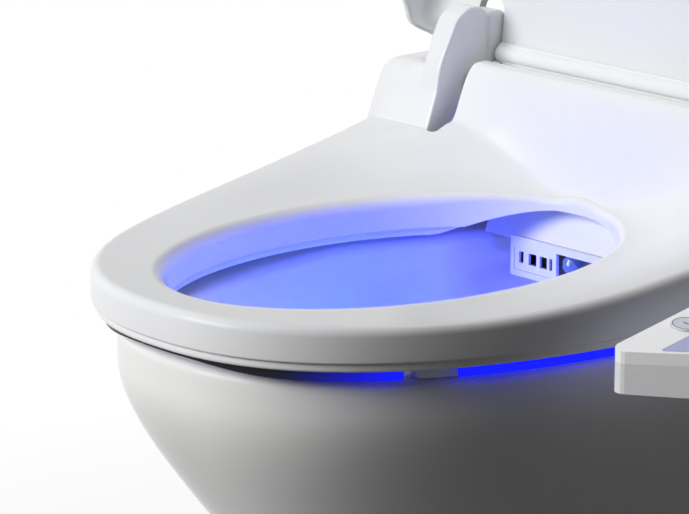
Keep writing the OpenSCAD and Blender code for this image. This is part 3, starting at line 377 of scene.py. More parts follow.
def glowing(tree, bsdf):
    """The light guide's lens: lit along the sides, and painted dark round the nose as painted shade of the
    gap under the seat, with a grain in the lens.
    """
    split = tree.nodes.new("ShaderNodeSeparateXYZ")
    tree.links.new(object_coords(tree), split.inputs["Vector"])
    along = mapped(tree, split.outputs["Y"], (GLOW_START, GLOW_FULL), (0.0, 1.0))
    tint(tree, bsdf, along, (0.0, GUIDE_PAINTED_SHADE), (1.0, GUIDE_BLUE))
    power = mapped(tree, along, (0.05, 1.0), (0.0, 1.3), "SMOOTHSTEP")
    tree.links.new(power, bsdf.inputs["Emission Strength"])
    bump(tree, bsdf, noise(tree, 700.0, 2.0), 0.3, 0.00003)


def plastic(name, color, rough, tone=0.012, **settings):
    return material(name, color, rough, moulded(color, rough, tone, 900.0, 0.00002), **settings)


def rubber(name, color, rough, tone):
    return material(name, color, rough, moulded(color, rough, tone, 400.0, 0.0001))


def metal(name, color, rough, stretch=60.0):
    return material(name, color, rough, drawn(color, stretch), Metallic=1.0)


WHITE = (0.79, 0.795, 0.805)
LID_WHITE = (0.77, 0.775, 0.785)
GLAZE = (0.80, 0.80, 0.79)
MAT = {
    "ceramic": material("glaze", GLAZE, 0.08, glazed(GLAZE), Specular_IOR_Level=0.04, Coat_Weight=0.03,
                        Coat_Roughness=0.03),
    "seat_plastic": plastic("seat_white", WHITE, 0.2, Specular_IOR_Level=0.08, Coat_Weight=0.02,
                            Coat_Roughness=0.1),
    "lid_plastic": plastic("lid_white", LID_WHITE, 0.24, Specular_IOR_Level=0.3),
    "unit_plastic": plastic("unit_white", WHITE, 0.26, Specular_IOR_Level=0.35),
    "inner_plastic": plastic("inner_white", (0.72, 0.73, 0.74), 0.42),
    "dark_plastic": plastic("dark_grey", (0.06, 0.062, 0.066), 0.45, 0.06),
    "panel_plastic": plastic("panel_white", (0.9, 0.9, 0.905), 0.22),
    "panel_tint": plastic("panel_lilac", (0.42, 0.45, 0.72), 0.15, 0.03),
    "button_plastic": plastic("key_grey", (0.62, 0.64, 0.69), 0.35),
    "pale_rubber": rubber("pale_rubber", (0.5, 0.52, 0.54), 0.55, 0.03),
    "dark_rubber": rubber("dark_rubber", (0.03, 0.03, 0.032), 0.7, 0.1),
    "steel": metal("zinc_steel", (0.55, 0.56, 0.58), 0.32),
    "wand_steel": metal("wand_steel", (0.66, 0.68, 0.7), 0.16, 20.0),
    "brass": metal("brass", (0.72, 0.55, 0.27), 0.28),
    "foil": metal("foil", (0.7, 0.68, 0.6), 0.3),
    "circuit": plastic("circuit", (0.02, 0.16, 0.06), 0.4, 0.2),
    "tip_plastic": plastic("tip_blue", (0.3, 0.45, 0.85), 0.1, Transmission_Weight=0.6),
    "light_lens": material("light_lens", (0.02, 0.03, 0.5), 0.25, glowing,
                           Emission_Color=(0.0, 0.004, 1.0, 1.0), Specular_IOR_Level=0.15),
}
# A lighter copy of the panel's white for its cover: a painted highlight, as if the cover's top and edge catch
# more light than the housing.
PANEL_LIT_WHITE = plastic("panel_white_painted_lit", (0.96, 0.96, 0.965), 0.2)
MARK = plastic("key_mark", (0.2, 0.21, 0.24), 0.4, 0.06)

# Materials and soft edges of the solids, in metres
PANEL_EDGE, PLAIN_EDGE = 0.0014, 0.0004
slot_of = {row["node"]: row["material_slot"] for row in frame["record"]["subparts"]}
for name, obj in NODES.items():
    paint(obj, MAT[slot_of[name]])
    on_panel = name in ("panel_housing", "panel_cover")
    m = obj.modifiers.new("soft_edges", "BEVEL")
    m.width, m.segments = (PANEL_EDGE, 4) if on_panel else (PLAIN_EDGE, 2)
    m.limit_method, m.angle_limit = "ANGLE", math.radians(40)
    m.harden_normals = False


# Seat: the ramp to the roll widens over a band at its sides, and the outer edge's rise fades out
RAMP_HALF, RAMP_BAND, RAMP_LEAD = 110.0, 60.0, 4.0
FADE_START, FADE_L = 352.0, 32.0
SEAT_MIN_T, BACK_LIP_R = 7.0, 5.0


def edge_rise(s):
    return RISE_H * (np.maximum(0, s - RISE_START) / RISE_L) ** 2


def ramp_h(x, s):
    """Height of the ramp that sweeps up from the seat's flat top to the hinge roll."""
    start = mix(NOTCH_S, NOTCH_S + 8, smooth((RAMP_HALF - np.abs(x)) / RAMP_BAND)) - RAMP_LEAD
    t = np.clip((s - start) / (HINGE_S - start - 3), 0, 1)
    return ROLL_TOP * t ** 3 * (t * (6 * t - 15) + 10)


def seat_top_h(x, s, w):
    """Height of the seat's top, where w runs from the opening (0) to the outline (1)."""
    on_roll = HINGE_H + np.sqrt(np.maximum(0, ROLL_R ** 2 - (s - HINGE_S) ** 2))
    edge = edge_rise(s) * smooth(w / 0.85) * (1 - smooth((s - FADE_START) / FADE_L))
    top = (edge ** 4 + ramp_h(x, s) ** 4) ** 0.25
    return np.where(s > HINGE_S, on_roll, top)


def arch_h(s):
    """The seat's lower edge round the opening, which rises towards the unit."""
    t = np.maximum(0, s - ARCH_START)
    return -SEAT_T + ARCH_SLOPE * t ** 2 / (t + 6)


def seat_low_h(x, s, w):
    on_roll = HINGE_H - np.sqrt(np.maximum(0, ROLL_R ** 2 - (s - HINGE_S) ** 2))
    start = NOTCH_S - 20 * (1 - smooth((np.abs(x) - 100) / 27))
    end = HINGE_S - ROLL_R
    low = mix(SEAM, HINGE_H - ROLL_R, smooth((s - start) / (end - start)))
    low = mix(low, np.maximum(SEAM, arch_h(s)), 1 - smooth((w - 0.25) / 0.35))
    return np.where(s > HINGE_S, on_roll, np.minimum(low, seat_top_h(x, s, w) - SEAT_MIN_T))


def seat_half_outline():
    """Right half of the seat's outline, with the radii of its upper and lower outer edges."""
    r1, r2, r3 = 5.0, 3.0, 3.0
    low_r, notch_r, neck_r, roll_r = 1.5, 3.0, 1.5, ROLL_R - 0.3
    parts, upper, lower = [], [], []

    def add(points, up, low):
        parts.append(points)
        upper.append(np.broadcast_to(up, len(points)).astype(float))
        lower.append(np.broadcast_to(low, len(points)).astype(float))

    front = nose(np.linspace(0, 90, 73), HALF, SEAT_NOSE)
    front[:, 1] += SEAT_NOSE
    add(front, EDGE_R, low_r)
    add(line((HALF, SEAT_NOSE), (HALF, NOTCH_S - r1), 5), EDGE_R, low_r)
    add(arc((HALF - r1, NOTCH_S - r1), r1, 0, 90, 8), mix(EDGE_R, notch_r, np.linspace(0.1, 1, 8)), low_r)
    add(line((HALF - r1, NOTCH_S), (ROLL_HALF + r2, NOTCH_S), 16), notch_r, low_r)
    turn = mix(notch_r, neck_r, np.linspace(0.1, 1, 6))
    add(arc((ROLL_HALF + r2, NOTCH_S + r2), r2, 270, 180, 6), turn, low_r)
    add(line((ROLL_HALF, NOTCH_S + r2), (ROLL_HALF, SEAT_REAR - r3), 44), neck_r, low_r)
    turn = mix(neck_r, roll_r, smooth(np.linspace(0.04, 1, 24)))
    add(arc((ROLL_HALF - r3, SEAT_REAR - r3), r3, 0, 90, 24), turn, turn)
    add(line((ROLL_HALF - r3, SEAT_REAR), (0, SEAT_REAR), 44), roll_r, roll_r)
    return np.concatenate(parts), np.concatenate(upper), np.concatenate(lower)


def mirrored(values):
    return np.concatenate([values, values[-2:0:-1]])


def outward(p):
    """Unit vectors away from the opening's middle."""
    d = p - MIDDLE
    return d / np.linalg.norm(d, axis=1, keepdims=True)


def from_middle(p):
    """Distance from the opening's middle, the opening's own reach that way, and the angle from the front."""
    x, y = outward(p).T
    opening = 1 / np.sqrt((x / (OPEN_W / 2)) ** 2 + (y / (OPEN_L / 2)) ** 2)
    return np.linalg.norm(p - MIDDLE, axis=1), opening, np.arctan2(x, -y)


def soft_outline(outer):
    """The outline's reach by angle, smoothed so that its corners leave no crease in the seat's top."""
    r, _, angle = from_middle(outer)
    order = np.argsort(angle)
    angle, r = angle[order], r[order]
    even = np.linspace(-np.pi, np.pi, 720, endpoint=False)
    reach = np.interp(even, np.concatenate([angle - 2 * np.pi, angle, angle + 2 * np.pi]), np.tile(r, 3))
    bell = np.exp(-(np.arange(-60, 61) / 24.0) ** 2)
    reach = np.convolve(np.tile(reach, 3), bell / bell.sum(), "same")[720:1440]
    return even, reach


def seat_rings():
    half, up, low = seat_half_outline()
    outer, up, low = whole(half), mirrored(up), mirrored(low)
    n = normals(outer)
    even, reach = soft_outline(outer)

    def share(p):
        r, inner_r, angle = from_middle(p)
        return np.clip((r - inner_r) / (np.interp(angle, even, reach, period=2 * np.pi) - inner_r), 0, 1)

    # Behind the hinge's axis every ring starts from the roll's ridge
    behind = outer[:, 1] > HINGE_S
    reach_x = ROLL_HALF - 1.5
    ridge = np.column_stack([np.clip(outer[:, 0], -reach_x, reach_x), np.full(len(outer), HINGE_S)])
    top_in = np.where(behind[:, None], ridge, outer - n * up[:, None])
    low_in = np.where(behind[:, None], ridge, outer - n * low[:, None])
    d = outward(top_in)
    _, inner_r, _ = from_middle(top_in)
    inner = MIDDLE + d * inner_r[:, None]
    lip_r = mix(INNER_R, BACK_LIP_R, smooth((inner[:, 1] - OPEN_MID - 90) / 50))
    lip = inner + d * lip_r[:, None]
    top_z = seat_top_h(top_in[:, 0], top_in[:, 1], share(top_in))
    low_z = seat_low_h(low_in[:, 0], low_in[:, 1], share(low_in))
    lip_z = seat_top_h(lip[:, 0], lip[:, 1], share(lip))
    soft = 1.5 * (1 - smooth((outer[:, 1] - SEAT_REAR + 3) / 3))
    rings = []

    def round_h(p):
        return np.sqrt(np.maximum(0, ROLL_R ** 2 - (p[:, 1] - HINGE_S) ** 2))

    def add(p, z):
        rings.append(np.column_stack([p, z]))

    for a in quarter(9):
        p = mix(low_in, outer, math.sin(a))
        k = 1 - math.cos(a)
        add(p, np.where(behind, HINGE_H - round_h(p) + soft * k, low_z + low * k))
    for a in quarter(13):
        p = mix(top_in, outer, math.cos(a))
        k = 1 - math.sin(a)
        add(p, np.where(behind, HINGE_H + round_h(p) - soft * k, top_z - up * k))
    for t in np.linspace(0, 1, 90)[1:-1]:
        p = mix(top_in, lip, t)
        add(p, seat_top_h(p[:, 0], p[:, 1], share(p)))
    for a in quarter(12):
        add(lip - d * (lip_r * math.sin(a))[:, None], lip_z - lip_r * (1 - math.cos(a)))
    for t in np.linspace(0, 1, 24)[:-1]:
        p = mix(inner, low_in, t)
        add(p, seat_low_h(p[:, 0], p[:, 1], share(p)))
    return np.array(rings)


seat = skin("RingShell", to_frame(seat_rings()), MAT["seat_plastic"], closed=True, sharp=50)
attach(seat, "seat")
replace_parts(seat, "seat_top")


# The seat's lower shell, with ends that run out under the arch
BASE_IN, BASE_CLEAR, BASE_R = 2.5, 2.0, 1.8


def base_rings():
    half, _, _ = seat_half_outline()
    outer = whole(half)
    n = normals(outer)
    path = outer - n * BASE_IN
    d = outward(outer)
    _, inner_r, _ = from_middle(outer)
    inner = MIDDLE + d * (inner_r[:, None] + BASE_CLEAR)
    r = BASE_R
    rings = []

    def add(p, z):
        rings.append(np.column_stack([p, np.full(len(p), z)]))

    for a in quarter(7):
        add(path - n * r * (1 - math.sin(a)), -SEAT_T + r * (1 - math.cos(a)))
    # The open seam between the two shells
    for inset, drop in ((0, 1.1), (0.3, 0.6), (2.0, 0.5), (3.0, 0)):
        add(path - n * inset, SEAM - drop)
    add(inner + d * 0.6, SEAM)
    add(inner, SEAM - 0.6)
    for a in quarter(6):
        add(inner + d * r * (1 - math.cos(a)), -SEAT_T + r * (1 - math.sin(a)))
    return np.array(rings)


base = skin("RingBaseShell", to_frame(base_rings()), MAT["seat_plastic"], closed=True, sharp=50)
arch_end, past, over, under = NOTCH_S - 21, 430.0, SEAM + 9, -SEAT_T - 9
steps = np.linspace(ARCH_START - 3, arch_end, 24)
below = np.concatenate([np.column_stack([steps, np.maximum(arch_h(steps), -SEAT_T - 0.01)]),
                        [(arch_end, over), (past, over), (past, under), (steps[0], under)]])
cut(base, [prism("arch", below, -HALF - 30, HALF + 30, ON_DATUM @ ACROSS)])
resharpen(base, 50)
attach(base, "seat")
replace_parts(base, "seat_base")


# Light guides in the gap under the seat: one round the nose, mostly dark as painted shade of the gap, and one
# along each side
GUIDE_IN, GUIDE_W, GUIDE_H = 8.0, 3.0, 6.6
# The front one ends at FRONT_END, and within LOW_HALF of its middle it has this share of the height
FRONT_END, SIDE_START, SIDE_END = 75.0, 102.0, 264.0
LOW_SHARE, LOW_HALF, LOW_BAND = 0.45, 15.0, 70.0


def guide(name, points):
    d = np.gradient(points, axis=0)
    n = np.stack([d[:, 1], -d[:, 0]], -1)
    n /= np.linalg.norm(n, axis=1, keepdims=True)
    near, far = points - n * GUIDE_IN, points - n * (GUIDE_IN + GUIDE_W)
    obj = prism(name, np.concatenate([near, far[::-1]]), -SEAT_T - GUIDE_H, -SEAT_T, ON_DATUM)
    paint(obj, MAT["light_lens"])
    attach(obj, "seat")
    # The lower edge rises towards the nose
    top = DATUM_Z - SEAT_T
    for v in obj.data.vertices:
        if v.co.z / MM < top - 1:
            full = float(smooth((abs(v.co.x) / MM - LOW_HALF) / LOW_BAND))
            v.co.z = (top - GUIDE_H * mix(LOW_SHARE, 1, full)) * MM
    return obj


MIRROR = np.array([-1, 1])
fine = nose(np.linspace(0, 90, 241), HALF, SEAT_NOSE) + np.array([0, SEAT_NOSE])
side_part = fine[(fine[:, 1] > SIDE_START) & (fine[:, 1] < SIDE_END)]
front_part = fine[fine[:, 1] < FRONT_END]
front_guide = guide("GuideFront", np.concatenate([front_part[:0:-1] * MIRROR, front_part]))
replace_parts(front_guide, "light_guides")
guide("GuideRight", side_part)
guide("GuideLeft", side_part[::-1] * MIRROR)

# Warm-air outlet with the photograph's four slots, each with its middle and its width
GRILLE_SLOTS = ((-52.6, 4.0), (-42.4, 7.0), (-32.6, 6.6), (-25.9, 2.8))
GRILLE_FRONT, GRILLE_BACK, AIR_LOW, AIR_TOP = 350.5, 352.5, -49.0, -41.2
grille = box("AirGrille", (-58.8, GRILLE_FRONT, -53.8), (-23.2, GRILLE_BACK, -39.2))
cut(grille, [box("slot", (x - w / 2, GRILLE_FRONT - 10, AIR_LOW), (x + w / 2, GRILLE_BACK + 8, AIR_TOP))
             for x, w in GRILLE_SLOTS])
move_to_datum(grille)
paint(grille, MAT["inner_plastic"])
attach(grille, "toilet")
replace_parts(grille, "air_grille")

# Lid
LID_NOSE = SEAT_NOSE - 6
CORNER_Y = -LID_REAR - LID_CORNER


def lid_outline():
    front = nose(np.linspace(0, 90, 61), LID_HALF, LID_NOSE)
    front[:, 1] += -LID_L + LID_NOSE
    corner = (LID_HALF - LID_CORNER, CORNER_Y)
    half = np.concatenate([front,
                           line((LID_HALF, -LID_L + LID_NOSE), (LID_HALF, CORNER_Y), 8),
                           arc(corner, LID_CORNER, 0, 90, 16),
                           line((corner[0], -LID_REAR), (0, -LID_REAR), 24)])
    return whole(half)


def lid_rings():
    path = lid_outline()
    n = normals(path)
    mid = np.array([0.0, -LID_L * 0.5])
    rear = smooth((LID_HALF - np.abs(path[:, 0])) / 8) * (path[:, 1] > CORNER_Y)
    radius = mix(LID_ROUND, LID_T + 0.2, rear)
    # The skirt's lower edge follows the rise of the closed seat
    u = -path[:, 1]
    slope = math.radians(LID_SLOPE)
    s = HINGE_S - u * math.cos(slope)
    level = (edge_rise(s) + LID_GAP - HINGE_H + u * math.sin(slope)) / math.cos(slope)
    low = mix(mix(0, level, smooth((u - 34) / 34)), LID_RISE - 0.4, rear)
    edge = path - n * radius[:, None]
    rings = []

    def add(p, z):
        rings.append(np.column_stack([p, np.broadcast_to(z, len(p))]))

    for t in np.linspace(0.15, 1, 8):
        add(mix(mid, edge, t), LID_RISE)
    r = radius - LID_WALL
    for a in np.radians(np.linspace(10, 90, 9)):
        add(path - n * (LID_WALL + r * (1 - math.sin(a)))[:, None], LID_RISE - r * (1 - math.cos(a)))
    for t in (0.33, 0.66, 1.0):
        add(path - n * LID_WALL, mix(LID_RISE - r, low + 0.5, t))
    add(path - n * (LID_WALL - 0.5), low)
    add(path - n * 0.5, low)
    for t in (0.0, 0.33, 0.66):
        add(path, mix(low + 0.5, LID_RISE + LID_T - radius, t))
    for a in np.radians(np.linspace(0, 80, 10)):
        p = path - n * (radius * (1 - math.cos(a)))[:, None]
        add(p, LID_RISE + LID_T - radius * (1 - math.sin(a)))
    reach = np.linalg.norm(path - mid, axis=1)

    def crown(p):
        return (1 - (np.linalg.norm(p - mid, axis=1) / reach) ** 2) * LID_CROWN

    for t in np.linspace(1, 0.1, 16):
        p = mix(mid, edge, t)
        add(p, LID_RISE + LID_T + crown(p) - crown(edge))
    rings = np.array(rings)
    flat = rings.reshape(-1, 3)
    m = np.array(LID_POSE)
    return (flat @ m[:3, :3].T + m[:3, 3]).reshape(rings.shape)


def slot_outline():
    inner, outer = CAP_IN - SLOT_GAP, CAP_IN + FIN_T + SLOT_GAP
    r = (outer - inner) / 2
    mid = (inner + outer) / 2
    end = arc((mid, -SLOT_L + r), r, 180, 360, 24)
    return np.concatenate([[(inner, 5.0)], [(inner, -SLOT_L + r)], end, [(outer, 5.0)]])


lid = skin("LidShell", lid_rings(), MAT["lid_plastic"], sharp=50)
slots = [prism("slot%d" % k, slot_outline(), -20, 60, LID_POSE @ Matrix.Diagonal((side, 1, 1, 1)))
         for k, side in enumerate((1, -1))]
cut(lid, slots)
resharpen(lid, 50)
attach(lid, "lid")
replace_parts(lid, "lid_shell")


# Pan: the bowl narrows to a sump, and the outside tapers to the foot over about TAPER_L
SUMP_HALF, SUMP_FRONT, BOWL_NOSE, SUMP_NOSE = 28.0, -216.0, 195.0, 40.0
TAPER_L, LIP_R = 170.0, 7.0
FLUSH_HALF_W, FLUSH_HALF_H, INLET_HALF = 18.0, 17.0, 44.0
SCREW_HOLE_R, SCREW_CAP_R = 4.2, 9.0


def pan_half(half, front, nose_l, back, back_half, round_r):
    tip = nose(np.linspace(0, 90, 65), half, nose_l)
    tip[:, 1] += front + nose_l
    t = np.linspace(0, 1, 13)[1:]
    side = np.stack([mix(half, back_half, smooth(t)), mix(front + nose_l, back - round_r, t)], -1)
    corner = arc((back_half - round_r, back - round_r), round_r, 0, 90, 12)
    return np.concatenate([tip, side, corner, line(corner[-1], (0, back), 12)])


def at_height(outline, z):
    return np.column_stack([outline, np.full(len(outline), z)])


def taper(z):
    return 1 - math.exp(-(max(0, RIM_H - RIM_BAND - z) / TAPER_L) ** 1.6)


def pan_half_w(z):
    return PAN_W / 2 - (PAN_W - FOOT_W) / 2 * taper(z) / taper(0)


def pan_ring(z, inset=0.0):
    half = pan_half_w(z) - inset
    front = -PAN_FRONT + (PAN_FRONT - FOOT_FRONT) * taper(z) / taper(0) + inset
    nose_l = PAN_NOSE * mix(1, 0.72, taper(z))
    return at_height(whole(pan_half(half, front, nose_l, PAN_BACK - inset, half, 24)), z)


def bowl_ring(q, inset=0.0):
    """A ring of the bowl's inside, where q runs from the rim (0) to the sump (1)."""
    half = mix(SUMP_HALF, BOWL_W / 2, 1 - q ** 1.9) + inset
    front = mix(-PAN_FRONT + RIM_FRONT, SUMP_FRONT, q ** 1.5) - inset
    rear = 1 - (1 - max(0, q - 0.075) / 0.925) ** 2.5
    back = mix(-BOWL_REAR, -TRAP_GAP - TRAP_R - 43, rear) + inset
    nose_l = mix(BOWL_NOSE, SUMP_NOSE, q ** 1.3)
    outline = whole(pan_half(half, front, nose_l, back, half * 0.8, half * 0.45))
    return at_height(outline, RIM_H - BOWL_D * q)


def cavity_ring(z, shrink):
    half = FOOT_W / 2 - WALL - shrink
    front = -FOOT_FRONT + WALL + 6 + shrink
    return at_height(whole(pan_half(half, front, 120, -OUTLET_R - WALL - shrink, half, 20)), z)


def pan_rings():
    """From the hollow under the bowl, round the foot, up the outside, over the rim and down the bowl."""
    cavity_h = SUMP_H - TRAP_R - WALL - 9
    rings = [cavity_ring(cavity_h * k, d) for k, d in ((1, 20), (0.86, 8), (0.6, 2), (0, 0))]
    rings += [pan_ring(z) for z in np.linspace(0, RIM_H - RIM_BAND, 44)]
    rings += [pan_ring(z) for z in np.linspace(RIM_H - RIM_BAND, RIM_H - RIM_R, 5)[1:-1]]
    for a in quarter(10):
        rings.append(pan_ring(RIM_H - RIM_R * (1 - math.sin(a)), RIM_R * (1 - math.cos(a))))
    for a in quarter(10):
        rings.append(bowl_ring(LIP_R * (1 - math.cos(a)) / BOWL_D, LIP_R * (1 - math.sin(a))))
    rings += [bowl_ring(q) for q in np.linspace(0.022, 0.98, 56)[1:]]
    rings.append(bowl_ring(1, -12))
    return rings


def pan_tools():
    """Cutters for the trap, the water's way in, the rear chamber and the bolt and screw holes."""
    way_r, low_r = TRAP_R - 2, TRAP_R - 5
    way_h = WEIR_H + way_r
    tools = [tube(OUTLET_R, OUTLET_L + 1, at(0, 0, -1)),
             tube(TRAP_R, way_h + way_r + 5 - OUTLET_L, at(0, 0, OUTLET_L - 0.01)),
             tube(way_r, TRAP_GAP, at(0, 0, way_h) @ LYING),
             tube(TRAP_R, way_h + way_r + 8 - SUMP_H + low_r, at(0, -TRAP_GAP, SUMP_H - low_r - 3)),
             tube(low_r, TRAP_GAP + 12, at(0, -TRAP_GAP, SUMP_H) @ LYING),
             tube(INLET_R, INLET_L + 1, at(0, PAN_BACK + 1, INLET_H) @ LYING),
             box("flush", (-FLUSH_HALF_W, -BOWL_REAR - 68, INLET_H - FLUSH_HALF_H),
                 (FLUSH_HALF_W, PAN_BACK - INLET_L + 0.01, INLET_H + FLUSH_HALF_H))]
    chamber = FOOT_W / 2 - WALL
    front, back, deck = OUTLET_R + WALL, PAN_BACK + 1, RIM_H - DECK_T
    tools.append(box("mid", (-INLET_HALF, front, -1), (INLET_HALF, back, INLET_H - INLET_R - WALL)))
    for side in (-1, 1):
        x0, x1 = sorted((INLET_HALF * side, chamber * side))
        tools.append(box("deep", (x0, front, -1), (x1, back, deck)))
        tools.append(box("upper", (x0, -8, OUTLET_L + WALL), (x1, front + 0.01, deck)))
        bolt = at(side * BOLT_GAP / 2, DATUM_Y + BOLT_S, deck - 1)
        tools.append(tube(DECK_HOLE_R, DECK_T + 2, bolt, 48))
        screw = at(0, FIX_Y, FIX_H) @ turned(90 * side, "Y")
        tools.append(tube(SCREW_HOLE_R, 60, screw @ at(0, 0, chamber - 1), 48))
        tools.append(tube(SCREW_CAP_R, 60, screw @ at(0, 0, pan_half_w(FIX_H) - 8), 48))
    return tools


pan = skin("PanShell", pan_rings(), MAT["ceramic"])
cut(pan, pan_tools())
resharpen(pan, 40)
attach(pan, "toilet")
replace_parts(pan, "pan")


# End caps: side views of the shoulder, the fin and the web behind it, and the shoulder's section
SHOULDER = rounded([[CAP_FRONT, TRAY_TOP, 2], [CAP_FRONT - 1.5, 24, 3], [CAP_FRONT + 8, 50, 17],
                    [HINGE_S - 24, SHOULDER_H, 15], [HINGE_S + 13, SHOULDER_H, 6], [HINGE_S + 20, COVER_H, 5],
                    [UNIT_BACK - 4, COVER_H - 5, 14], [UNIT_BACK, 20, 10], [UNIT_BACK, TRAY_TOP, 3]])
SECTION = rounded([[CAP_IN, TRAY_TOP, 0], [UNIT_HALF - 2, TRAY_TOP, 0], [UNIT_HALF, 10, 20],
                   [UNIT_HALF - 2, SHOULDER_H, 9], [CAP_IN, SHOULDER_H, 0]])
FIN = rounded([[CAP_FRONT + 3, 20, 2], [CAP_FRONT + 11, HINGE_H + 15, 40], [HINGE_S - 13, FIN_H - 6, 18],
               [HINGE_S - 1, FIN_H, 9], [HINGE_S + 14, FIN_H - 2, 9], [HINGE_S + 19, HINGE_H + 28, 20],
               [HINGE_S + 19, 20, 2]])
WEB = rounded([[HINGE_S + 15, 20, 2], [HINGE_S + 15, FIN_H - 5, 4], [HINGE_S + 30, FIN_H - 5, 7],
               [HINGE_S + 31, HINGE_H + 24, 20], [HINGE_S + 28, 20, 2]])
# Grid of the softened cap in metres, and how far the hollow reaches in millimetres
VOXEL, HOLLOW_R = 0.0011, 10.0


def relax(obj, times, group=""):
    m = obj.modifiers.new("soft", "SMOOTH")
    m.factor, m.iterations, m.vertex_group = 0.5, times, group
    apply_modifiers(obj)


def soften(obj):
    """Rounds the edges a little, and fills the corner between fin and shoulder to a soft hollow."""
    m = obj.modifiers.new("even", "REMESH")
    m.mode, m.voxel_size = "VOXEL", VOXEL
    relax(obj, 5)
    co = np.array([v.co[:] for v in obj.data.vertices]) / MM
    off_x = np.maximum(0, np.abs(co[:, 0] - CAP_IN - FIN_T - 2) - 4)
    off_z = np.maximum(0, np.abs(co[:, 2] - SHOULDER_H - 3) - 5)
    group = obj.vertex_groups.new(name="hollow")
    for i, d in enumerate(np.hypot(off_x, off_z)):
        if d < HOLLOW_R:
            group.add([i], float(1 - smooth(d / HOLLOW_R)), "REPLACE")
    relax(obj, 60, "hollow")
    obj.vertex_groups.clear()


def end_cap(name, side):
    body = prism(name, SHOULDER, CAP_IN, UNIT_HALF, ACROSS)
    cut(body, [prism("section", SECTION, -UNIT_BACK - 20, -20, LYING)], "INTERSECT")
    cut(body, [prism("fin", FIN, CAP_IN, CAP_IN + FIN_T, ACROSS),
               prism("web", WEB, CAP_IN - 1.6, CAP_IN + FIN_T - 2.6, ACROSS)], "UNION")
    soften(body)
    holes = [tube(PIN_HOLE_R, 16, at(CAP_IN - 1, HINGE_S, HINGE_H) @ turned(90, "Y"), 48)]
    if side < 0:
        holes.append(tube(VALVE_HOLE_R, 80, at(CAP_IN - 1, VALVE_S, VALVE_H) @ turned(90, "Y")))
    cut(body, holes)
    body.data.transform(Matrix.Diagonal((side, 1, 1, 1)))
    if side < 0:
        body.data.flip_normals()
    move_to_datum(body)
    resharpen(body, 45)
    paint(body, MAT["unit_plastic"])
    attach(body, "toilet")
    return body


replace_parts(end_cap("CapLeft", -1), "end_cap_left")
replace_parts(end_cap("CapRight", 1), "end_cap_right")


# Key outlines and plain marks on the panel's keys
def loop(length, width):
    r = width / 2
    end = arc((length / 2 - r, 0), r, -90, 90, 24)
    return np.concatenate([end, -end])


# The keys on the panel's arm: four oval ones by its inner edge and two round ones
OVAL_L, OVAL_W, ROUND_R, BUTTON_UP = 18.0, 15.0, 7.0, 1.2
OVAL_X, OVAL_S, OVAL_STEP = ARM_X + 14, 53.5, 34
ROUND_X, ROUND_S, ROUND_STEP = ARM_X + 52, 168, 26
# How much smaller than its key an outline is, outside and inside, and the size of the dash
MARK_OUT, MARK_IN, DASH_L, DASH_W = 1.2, 2.6, 4.5, 1.4
MARK_LOW, MARK_TOP = -0.1, 0.05
keys = [(key, OVAL_X, OVAL_S + OVAL_STEP * i, OVAL_L, OVAL_W)
        for i, key in enumerate(("key_stop", "key_wash", "key_bidet", "key_dry"))]
keys += [(key, ROUND_X, ROUND_S + ROUND_STEP * i, 2 * ROUND_R, 2 * ROUND_R)
         for i, key in enumerate(("key_less", "key_more"))]
for key, x, y, length, width in keys:
    place = ON_SLOPE @ at(x, y, BUTTON_UP)
    outline = prism("mark_" + key, loop(length - MARK_OUT, width - MARK_OUT), MARK_LOW, MARK_TOP, place)
    cut(outline, [prism("inside", loop(length - MARK_IN, width - MARK_IN), -1, 1, place)])
    dash = prism("dash_" + key, loop(DASH_L, DASH_W), MARK_LOW, MARK_TOP, place)
    for obj in (outline, dash):
        paint(obj, MARK)
        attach(obj, key)
# The cover gets the lighter copy of the panel's white, painted light that sets it apart from the housing.
paint(NODES["panel_cover"], PANEL_LIT_WHITE)


# Studio: the floor's tone as the camera sees it and as the part does, and how it fades to white
FLOOR_SEEN, FLOOR_DIM, FLOOR_SIZE = (0.85, 0.85, 0.85, 1), (0.05, 0.05, 0.05, 1), 14
FADE_FROM, FADE_TO = (0.3, 1.0), (0.72, 1.0)
PURE_WHITE, WORLD_LIGHT = (1, 1, 1, 1), 0.02


def plain_rays(tree):
    """One for rays from the camera, and for those seen in gloss or through glass."""
    rays = tree.nodes.new("ShaderNodeLightPath")
    out = rays.outputs["Is Camera Ray"]
    for other in ("Is Glossy Ray", "Is Transmission Ray"):
        most = tree.nodes.new("ShaderNodeMath")
        most.operation = "MAXIMUM"
        tree.links.new(out, most.inputs[0])
        tree.links.new(rays.outputs[other], most.inputs[1])
        out = most.outputs[0]
    return out


def floor_material():
    """A pale matt floor that fades to plain white, and is dark for the rays that light the part."""
    m = bpy.data.materials.new("floor_pale")
    m.use_nodes = True
    tree = m.node_tree
    bsdf = tree.nodes["Principled BSDF"]
    bsdf.inputs["Roughness"].default_value = 0.6
    plain = plain_rays(tree)
    tone = tree.nodes.new("ShaderNodeMix")
    tone.data_type = "RGBA"
    tone.inputs["A"].default_value = FLOOR_DIM
    tone.inputs["B"].default_value = FLOOR_SEEN
    tree.links.new(plain, tone.inputs["Factor"])
    tree.links.new(tone.outputs["Result"], bsdf.inputs["Base Color"])
    coord = tree.nodes.new("ShaderNodeTexCoord")
    away = tree.nodes.new("ShaderNodeVectorMath")
    away.operation = "LENGTH"
    tree.links.new(coord.outputs["Object"], away.inputs[0])
    fade = mapped(tree, away.outputs["Value"], FADE_FROM, FADE_TO)
    share = tree.nodes.new("ShaderNodeMath")
    share.operation = "MULTIPLY"
    tree.links.new(plain, share.inputs[0])
    tree.links.new(fade, share.inputs[1])
    glow = node(tree, "ShaderNodeEmission", Color=PURE_WHITE, Strength=1.0)
    blend = tree.nodes.new("ShaderNodeMixShader")
    tree.links.new(share.outputs[0], blend.inputs[0])
    tree.links.new(bsdf.outputs[0], blend.inputs[1])
    tree.links.new(glow.outputs[0], blend.inputs[2])
    tree.links.new(blend.outputs[0], tree.nodes["Material Output"].inputs[0])
    return m


